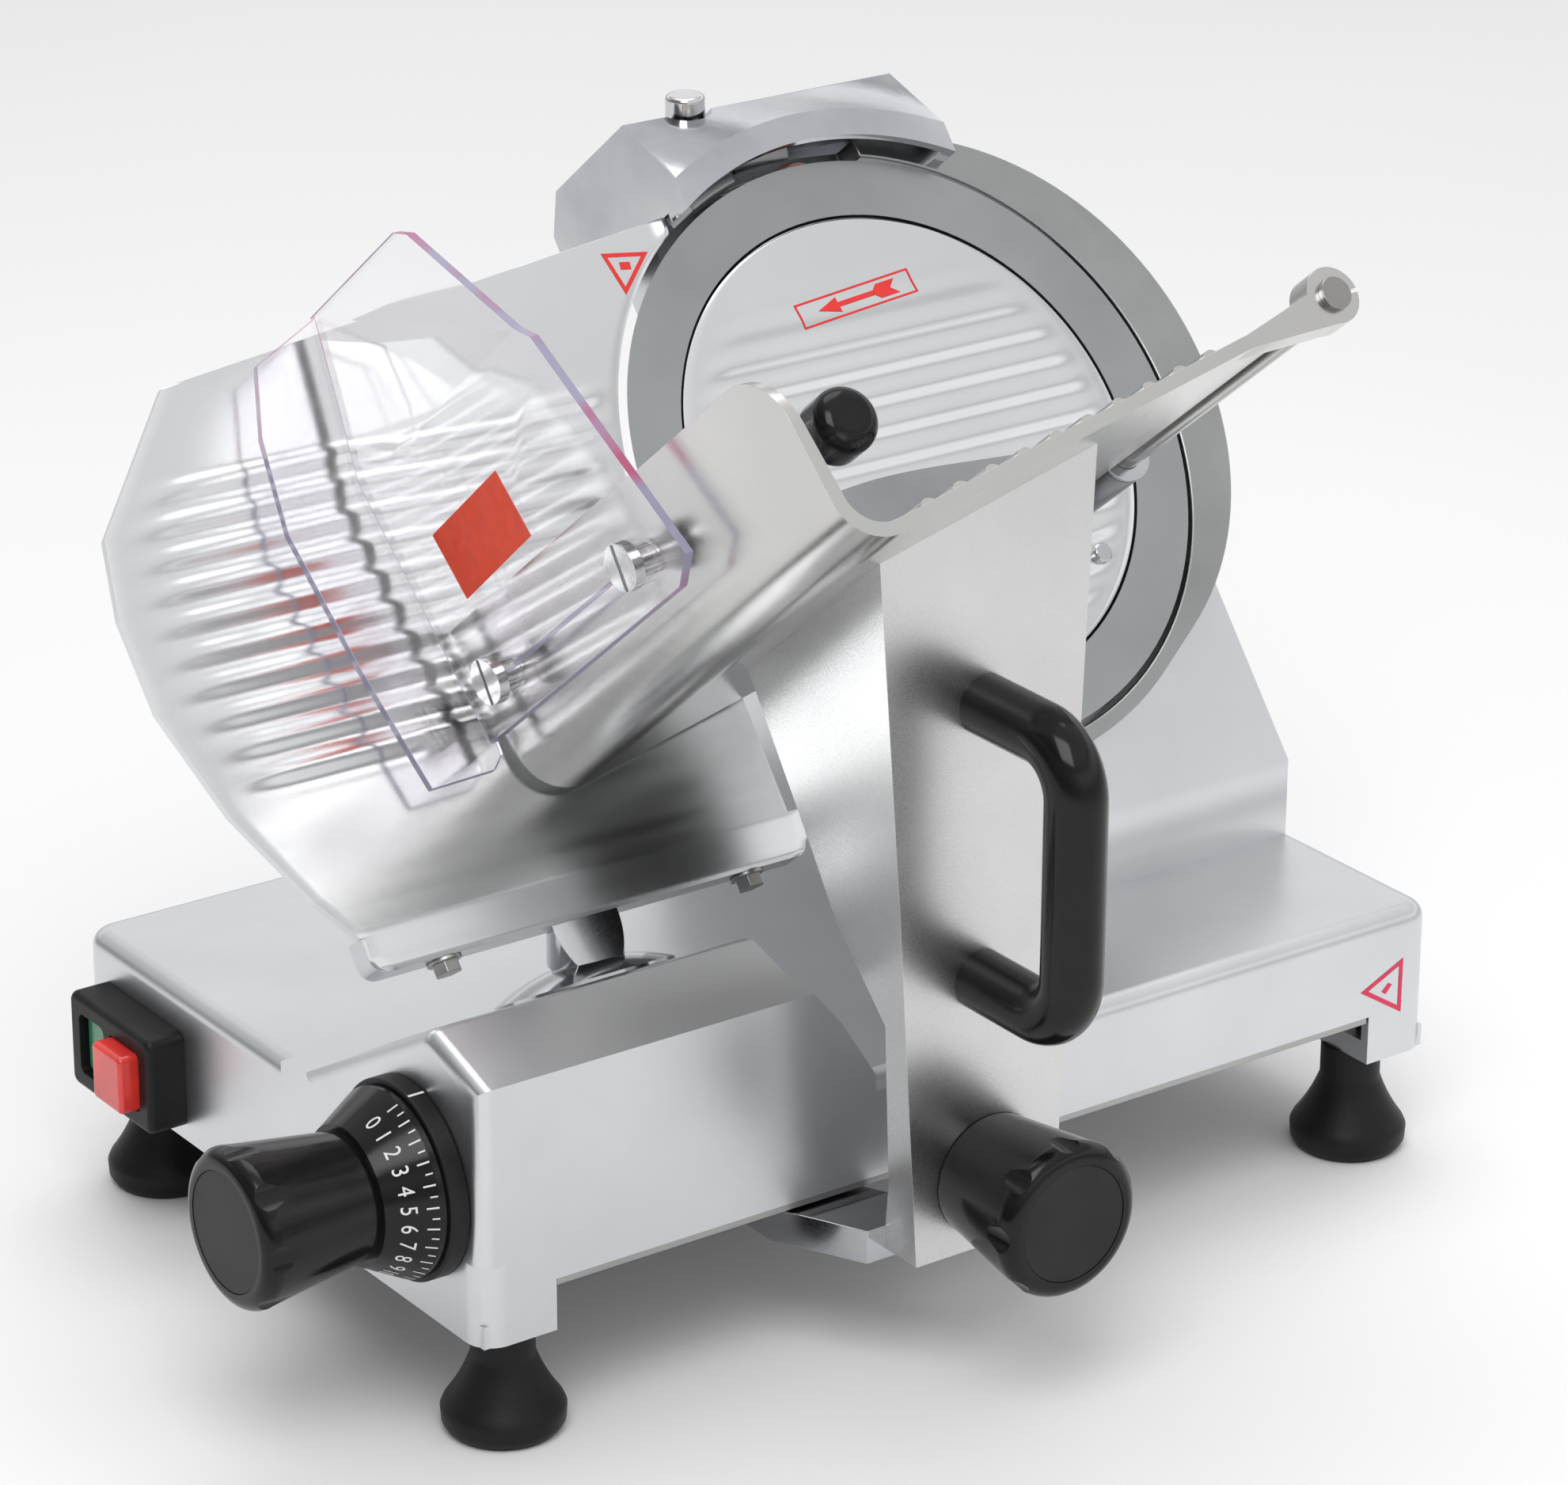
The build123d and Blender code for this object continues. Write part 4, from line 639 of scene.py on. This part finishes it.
# ---------------------------------------------------------------- nodes that keep their shape
BEVELS = {  # how far each one's sharp edges are rounded; 0 only smooths it
    "carriage_arm": 1.6, "gauge_support": 1.5, "tray": 1.0, "guard_ring": 1.2,
    "sharpener_cover": 1.8, "clear_guard": 0.6, "blade": 0.0, "gauge_post": 0.5,
    "pusher": 1.0, "dial_knob": 0.6, "lock_knob": 0.6, "handle": 0.0,
    "switch_housing": 0.8, "dial_ring": 1.0, "slider_block": 1.0, "gauge_bolts": 0.3,
    "foot_front_left": 0.6, "foot_front_right": 0.6, "foot_back_left": 0.6,
    "foot_back_right": 0.6, "pusher_rod": 0.4, "pusher_knob": 0.0, "sharpener_button": 0.4,
    "cover_knob": 0.4, "bottom_plate": 0.4, "start_button": 0.3, "stop_button": 0.3,
    "guard_spacers": 0.3, "dial_cap": 0.3, "lock_cap": 0.3, "cord_gland": 0.5,
    "pusher_bush": 0.3, "cover_peg": 0.3, "rod_brackets": 0.5, "guide_rod": 0.4,
}

# ---------------------------------------------------------------- the clear guard and its screws
GUARD_EDGE_WIDTH = 4.2  # a face narrower than this is one of the guard's cut edges
SCREW_PLACES = (35.0, 149.0)  # d of each screw
SCREW_V, SCREW_OUT = -55, 17.0  # their height, and how far out their heads reach
SLOT_LOW, SLOT_HIGH = (-0.9, -11, -1.6), (0.9, 11, 3)  # the cutter's two corners
SLOT_ANGLE = radians(14)


def screw_slots():
    """A driver slot across the head of each guard screw."""
    work = working_copy("guard_screws")
    side = OUTWARDS.cross(NORMAL).normalized()
    lean = (side * cos(SLOT_ANGLE) + NORMAL * sin(SLOT_ANGLE)).normalized()
    turn = axes(lean.cross(OUTWARDS), lean, OUTWARDS)
    for d in SCREW_PLACES:
        cutter = box(SLOT_LOW, SLOT_HIGH)
        cutter.matrix_world = moved(wall_side(d, SCREW_V, SCREW_OUT), turn)
        combine(work, cutter, "DIFFERENCE")
    finished("guard_screws_fine", work.data, ["guard_screws"], 0.3)
    bpy.data.objects.remove(work)


def colour_guard_edges(guard):
    mesh = guard.data
    mesh.materials.append(guard_edge())
    for face in mesh.polygons:
        corners = [mesh.vertices[k].co for k in face.vertices]
        longest = max((a - b).length for a in corners for b in corners)
        if face.area < GUARD_EDGE_WIDTH * MM * longest:
            face.material_index = 1


# ---------------------------------------------------------------- labels, without any lettering
FILM = 0.12  # how far printed film stands off the surface
FILM_GRID = 2.5  # its longer edges are cut up, so that it follows the surface
LOOK_FROM = 20.0  # the surface is looked for from this far out


def outline(points, width):
    """Four-sided shapes that make a line of this width just inside a closed polygon."""
    count = len(points)
    centre = Vector((sum(p[0] for p in points) / count, sum(p[1] for p in points) / count))
    inner = []
    for k in range(count):
        before, corner, after = (Vector(points[(k + step) % count]) for step in (-1, 0, 1))
        inwards = []
        for side in ((corner - before).normalized(), (after - corner).normalized()):
            across = Vector((-side.y, side.x))
            inwards.append(-across if across.dot(centre - corner) < 0 else across)
        mitre = (inwards[0] + inwards[1]).normalized()
        inner.append(corner + mitre * width / max(0.2, mitre.dot(inwards[0])))
    return [[points[k], points[(k + 1) % count], tuple(inner[(k + 1) % count]), tuple(inner[k])]
            for k in range(count)]


def turned(points, centre, angle):
    """A flat shape turned by degrees and moved to a centre."""
    c, s = cos(radians(angle)), sin(radians(angle))
    return [(centre[0] + a * c - b * s, centre[1] + a * s + b * c) for a, b in points]


def label(name, polygons, place, body, material, target, facing):
    """Printed film: flat polygons placed by place(a, b) and laid on the target, if there is one."""
    bm = bmesh.new()
    for polygon in polygons:
        bm.faces.new([bm.verts.new((a, b, 0)) for a, b in polygon])
    bmesh.ops.triangulate(bm, faces=bm.faces)
    for _ in range(3):
        long = [e for e in bm.edges if e.calc_length() > FILM_GRID]
        if long:
            bmesh.ops.subdivide_edges(bm, edges=long, cuts=2, use_grid_fill=False)
            bmesh.ops.triangulate(bm, faces=bm.faces)
    normal = facing.normalized()
    tree = None
    if target:
        tree = BVHTree.FromObject(target, bpy.context.evaluated_depsgraph_get())
    for vert in bm.verts:
        point = place(vert.co.x, vert.co.y) * MM
        if tree:
            hit = tree.ray_cast(point + normal * LOOK_FROM * MM, -normal)[0]
            point = hit if hit else point
        vert.co = point + normal * FILM * MM
    bmesh.ops.recalc_face_normals(bm, faces=bm.faces)
    for face in bm.faces:
        if face.normal.dot(normal) < 0:
            face.normal_flip()
    return add_object(name, made_mesh(name, bm), material, body)


def arrow_label(cover):
    """A framed arrow that shows which way the blade turns."""
    shapes = outline([(-29, -5.4), (29, -5.4), (29, 5.4), (-29, 5.4)], 0.9)
    shapes.append([(-19.5, 0.0), (-9, 3.4), (-9, -3.4)])
    shapes.append([(-9, 1.1), (10, 1.1), (10, -1.1), (-9, -1.1)])
    shapes.append([(8, 0), (11.5, 3.2), (21, 3.2), (17.5, 0)])
    shapes.append([(8, 0), (17.5, 0), (21, -3.2), (11.5, -3.2)])
    shapes = [turned(shape, (1.9, 66.1), 5.3) for shape in shapes]
    label("arrow_label", shapes, lambda a, b: blade_point(a, b, 1.0), "base", PRINT_RED,
          cover, NORMAL)


def gauge_label(gauge):
    """A plain hazard triangle at the gauge plate's top corner."""
    shapes = outline([(-102.7, 106.0), (-81.9, 102.9), (-98.6, 87.6)], 1.7)
    mark = [(-2.2, -1.8), (2.4, -1.8), (2.4, 1.4), (-2.2, 1.4)]
    shapes.append(turned(mark, (-94.2, 99.4), -8))
    label("gauge_label", shapes, lambda a, b: blade_point(a, b, 1.0), "gauge", PRINT_RED,
          gauge, NORMAL)


def base_label(casting):
    """A plain hazard triangle at the right end of the base's front."""
    shapes = outline([(411.1, 77.4), (432.7, 87.2), (432.6, 63.6)], 1.9)
    shapes.append([(422, 75.0), (425.5, 78.2), (427.4, 77.0), (424.2, 73.6)])
    label("base_label", shapes, lambda a, b: base_point(a, -1.0, b), "base", PRINT_PINK,
          casting, Vector((0, -1, 0)))


def guard_label():
    """A plain red label on the clear guard's outer side."""
    corners = [(43, -27), (101, -25), (99.5, 2), (41.5, 0)]
    label("guard_label", [corners], lambda a, b: wall_side(a, b, 12.6), "carriage", PRINT_LABEL,
          None, OUTWARDS)


# ---------------------------------------------------------------- dial numbers
DIAL_CENTRE = base_point(0, 44, 98.5)
SKIRT_START, SKIRT_LENGTH = 11.0, 17.5  # from the base's face, along the dial's axis
SKIRT_RADIUS, SKIRT_TAPER = 36.0, 9.5
INK = 0.15  # how far the numbers stand off the skirt
DIGIT_RADIUS = 31.0  # turns a digit's width into an angle
FIRST_NUMBER, NUMBER_STEP, NUMBER_COUNT = 14.0, 13.6, 16  # degrees, and how many
NUMBER_SIZE, NUMBER_REACH = 7.8, 12.6
LONG_MARK = ([(-0.3, 0), (0.3, 0), (0.3, 4.0), (-0.3, 4.0)], 4.5)  # shape, reach
SHORT_MARK = ([(-0.25, 0), (0.25, 0), (0.25, 2.4), (-0.25, 2.4)], 2.9)
INDEX_RADIUS, INDEX_OUT, INDEX_ANGLES = 38.2, (0.8, 7.4), (13.2, 14.8)


def on_skirt(angle, reach):
    """A point on the dial's number skirt, at degrees from the top and this far from the ring."""
    out = SKIRT_START + reach
    radius = SKIRT_RADIUS - (out - SKIRT_START) * SKIRT_TAPER / SKIRT_LENGTH + INK
    turn = radians(angle)
    return DIAL_CENTRE + Vector((-out, -sin(turn) * radius, cos(turn) * radius))


def text_polygons(text, size):
    """The flat polygons of a number in Blender's own font."""
    curve = bpy.data.curves.new("digit", "FONT")
    curve.body = text
    curve.size = size
    curve.align_x = "CENTER"
    curve.resolution_u = 4
    obj = add_loose("digit", curve)
    mesh = evaluated_mesh(obj)
    shapes = [[tuple(mesh.vertices[k].co[:2]) for k in polygon.vertices]
              for polygon in mesh.polygons]
    bpy.data.objects.remove(obj)
    bpy.data.meshes.remove(mesh)
    return shapes


def dial_numbers():
    """Plain numbers with a long mark each and a short mark between them."""
    bm = bmesh.new()

    def film(shape, angle, reach):
        points = [on_skirt(angle + degrees(a / DIGIT_RADIUS), reach - b) for a, b in shape]
        bm.faces.new([bm.verts.new(point * MM) for point in points])

    for number in range(NUMBER_COUNT):
        angle = FIRST_NUMBER + NUMBER_STEP * number
        for shape in text_polygons(str(number), NUMBER_SIZE):
            film(shape, angle, NUMBER_REACH)
        film(LONG_MARK[0], angle, LONG_MARK[1])
        film(SHORT_MARK[0], angle + NUMBER_STEP / 2, SHORT_MARK[1])
    bmesh.ops.recalc_face_normals(bm, faces=bm.faces)
    add_object("dial_numbers", made_mesh("dial_numbers", bm), PRINT_WHITE, "dial")


def index_mark():
    """The line on the fixed ring that the numbers are read against."""
    near, far = INDEX_OUT
    low, high = INDEX_ANGLES
    corners = []
    for out, angle in ((near, low), (far, low), (far, high), (near, high)):
        turn = radians(angle)
        across = Vector((-out, -sin(turn) * INDEX_RADIUS, cos(turn) * INDEX_RADIUS))
        corners.append((DIAL_CENTRE + across) * MM)
    mesh = bpy.data.meshes.new("index_mark")
    mesh.from_pydata(corners, [], [(0, 1, 2, 3)])
    add_object("index_mark", mesh, PRINT_WHITE, "base")


# ---------------------------------------------------------------- floor, world and lights
FLOOR_SIDE = 6.0  # metres from the middle
# the sky's brightness by height: 0 is the horizon and all below it, 1 is straight up
SKY = ((0.0, 0.58), (0.14, 0.50), (0.28, 1.05), (0.42, 1.25), (0.54, 0.55), (0.66, 0.86),
       (1.0, 0.95))
# the sky is darker on the left, towards -X
SIDE_SHADE = {"From Min": -0.8, "From Max": -0.1, "To Min": 0.25, "To Max": 1.0}


def make_floor():
    s = FLOOR_SIDE
    mesh = bpy.data.meshes.new("floor")
    mesh.from_pydata([(-s, -s, 0), (s, -s, 0), (s, s, 0), (-s, s, 0)], [], [(0, 1, 2, 3)])
    floor = add_loose("floor", mesh)
    m = Nodes("floor_white")
    m.clouds(1.5, 2.0, (0.90, 0.90, 0.90), (0.92, 0.92, 0.92))
    m.set("Roughness", 0.9)
    mesh.materials.append(m.material)


def make_world():
    world = bpy.data.worlds.new("studio")
    bpy.context.scene.world = world
    world.use_nodes = True
    tree = world.node_tree
    background = tree.nodes["Background"]
    coords = tree.nodes.new("ShaderNodeTexCoord")
    split = tree.nodes.new("ShaderNodeSeparateXYZ")
    tree.links.new(coords.outputs["Generated"], split.inputs["Vector"])
    ramp = tree.nodes.new("ShaderNodeValToRGB")
    tree.links.new(split.outputs["Z"], ramp.inputs["Fac"])
    elements = ramp.color_ramp.elements
    while len(elements) < len(SKY):
        elements.new(0.5)
    for element, (place, level) in zip(elements, SKY):
        element.position = place
        element.color = (level, level, level * 1.01, 1)
    side = tree.nodes.new("ShaderNodeMapRange")
    tree.links.new(split.outputs["X"], side.inputs["Value"])
    for socket, value in SIDE_SHADE.items():
        side.inputs[socket].default_value = value
    scaled = tree.nodes.new("ShaderNodeVectorMath")
    scaled.operation = "SCALE"
    tree.links.new(ramp.outputs["Color"], scaled.inputs[0])
    tree.links.new(side.outputs["Result"], scaled.inputs["Scale"])
    tree.links.new(scaled.outputs["Vector"], background.inputs["Color"])
    background.inputs["Strength"].default_value = 1.0


def area_light(name, place, aim, size, power):
    """A rectangular lamp at a place in metres, turned towards another."""
    data = bpy.data.lights.new(name, "AREA")
    data.shape = "RECTANGLE"
    data.size, data.size_y = size
    data.energy = power
    lamp = add_loose(name, data)
    lamp.location = place
    lamp.rotation_mode = "QUATERNION"
    lamp.rotation_quaternion = (Vector(aim) - Vector(place)).to_track_quat("-Z", "Y")


# ---------------------------------------------------------------- the scene
make_camera()
dress_nodes()
casting = cast_body()
gauge = gauge_piece()
cover = cover_piece()
pieces = {node: refined(node, bevel) for node, bevel in BEVELS.items()}
screw_slots()
colour_guard_edges(pieces["clear_guard"])
arrow_label(cover)
gauge_label(gauge)
base_label(casting)
guard_label()
dial_numbers()
index_mark()
make_floor()
make_world()
area_light("key", (-0.9, -1.0, 1.9), (0, 0, 0.2), (1.2, 1.2), 19)
area_light("top", (0.3, 0.6, 2.2), (0, 0, 0.2), (1.6, 1.0), 10)
bpy.context.scene.view_settings.view_transform = "Standard"
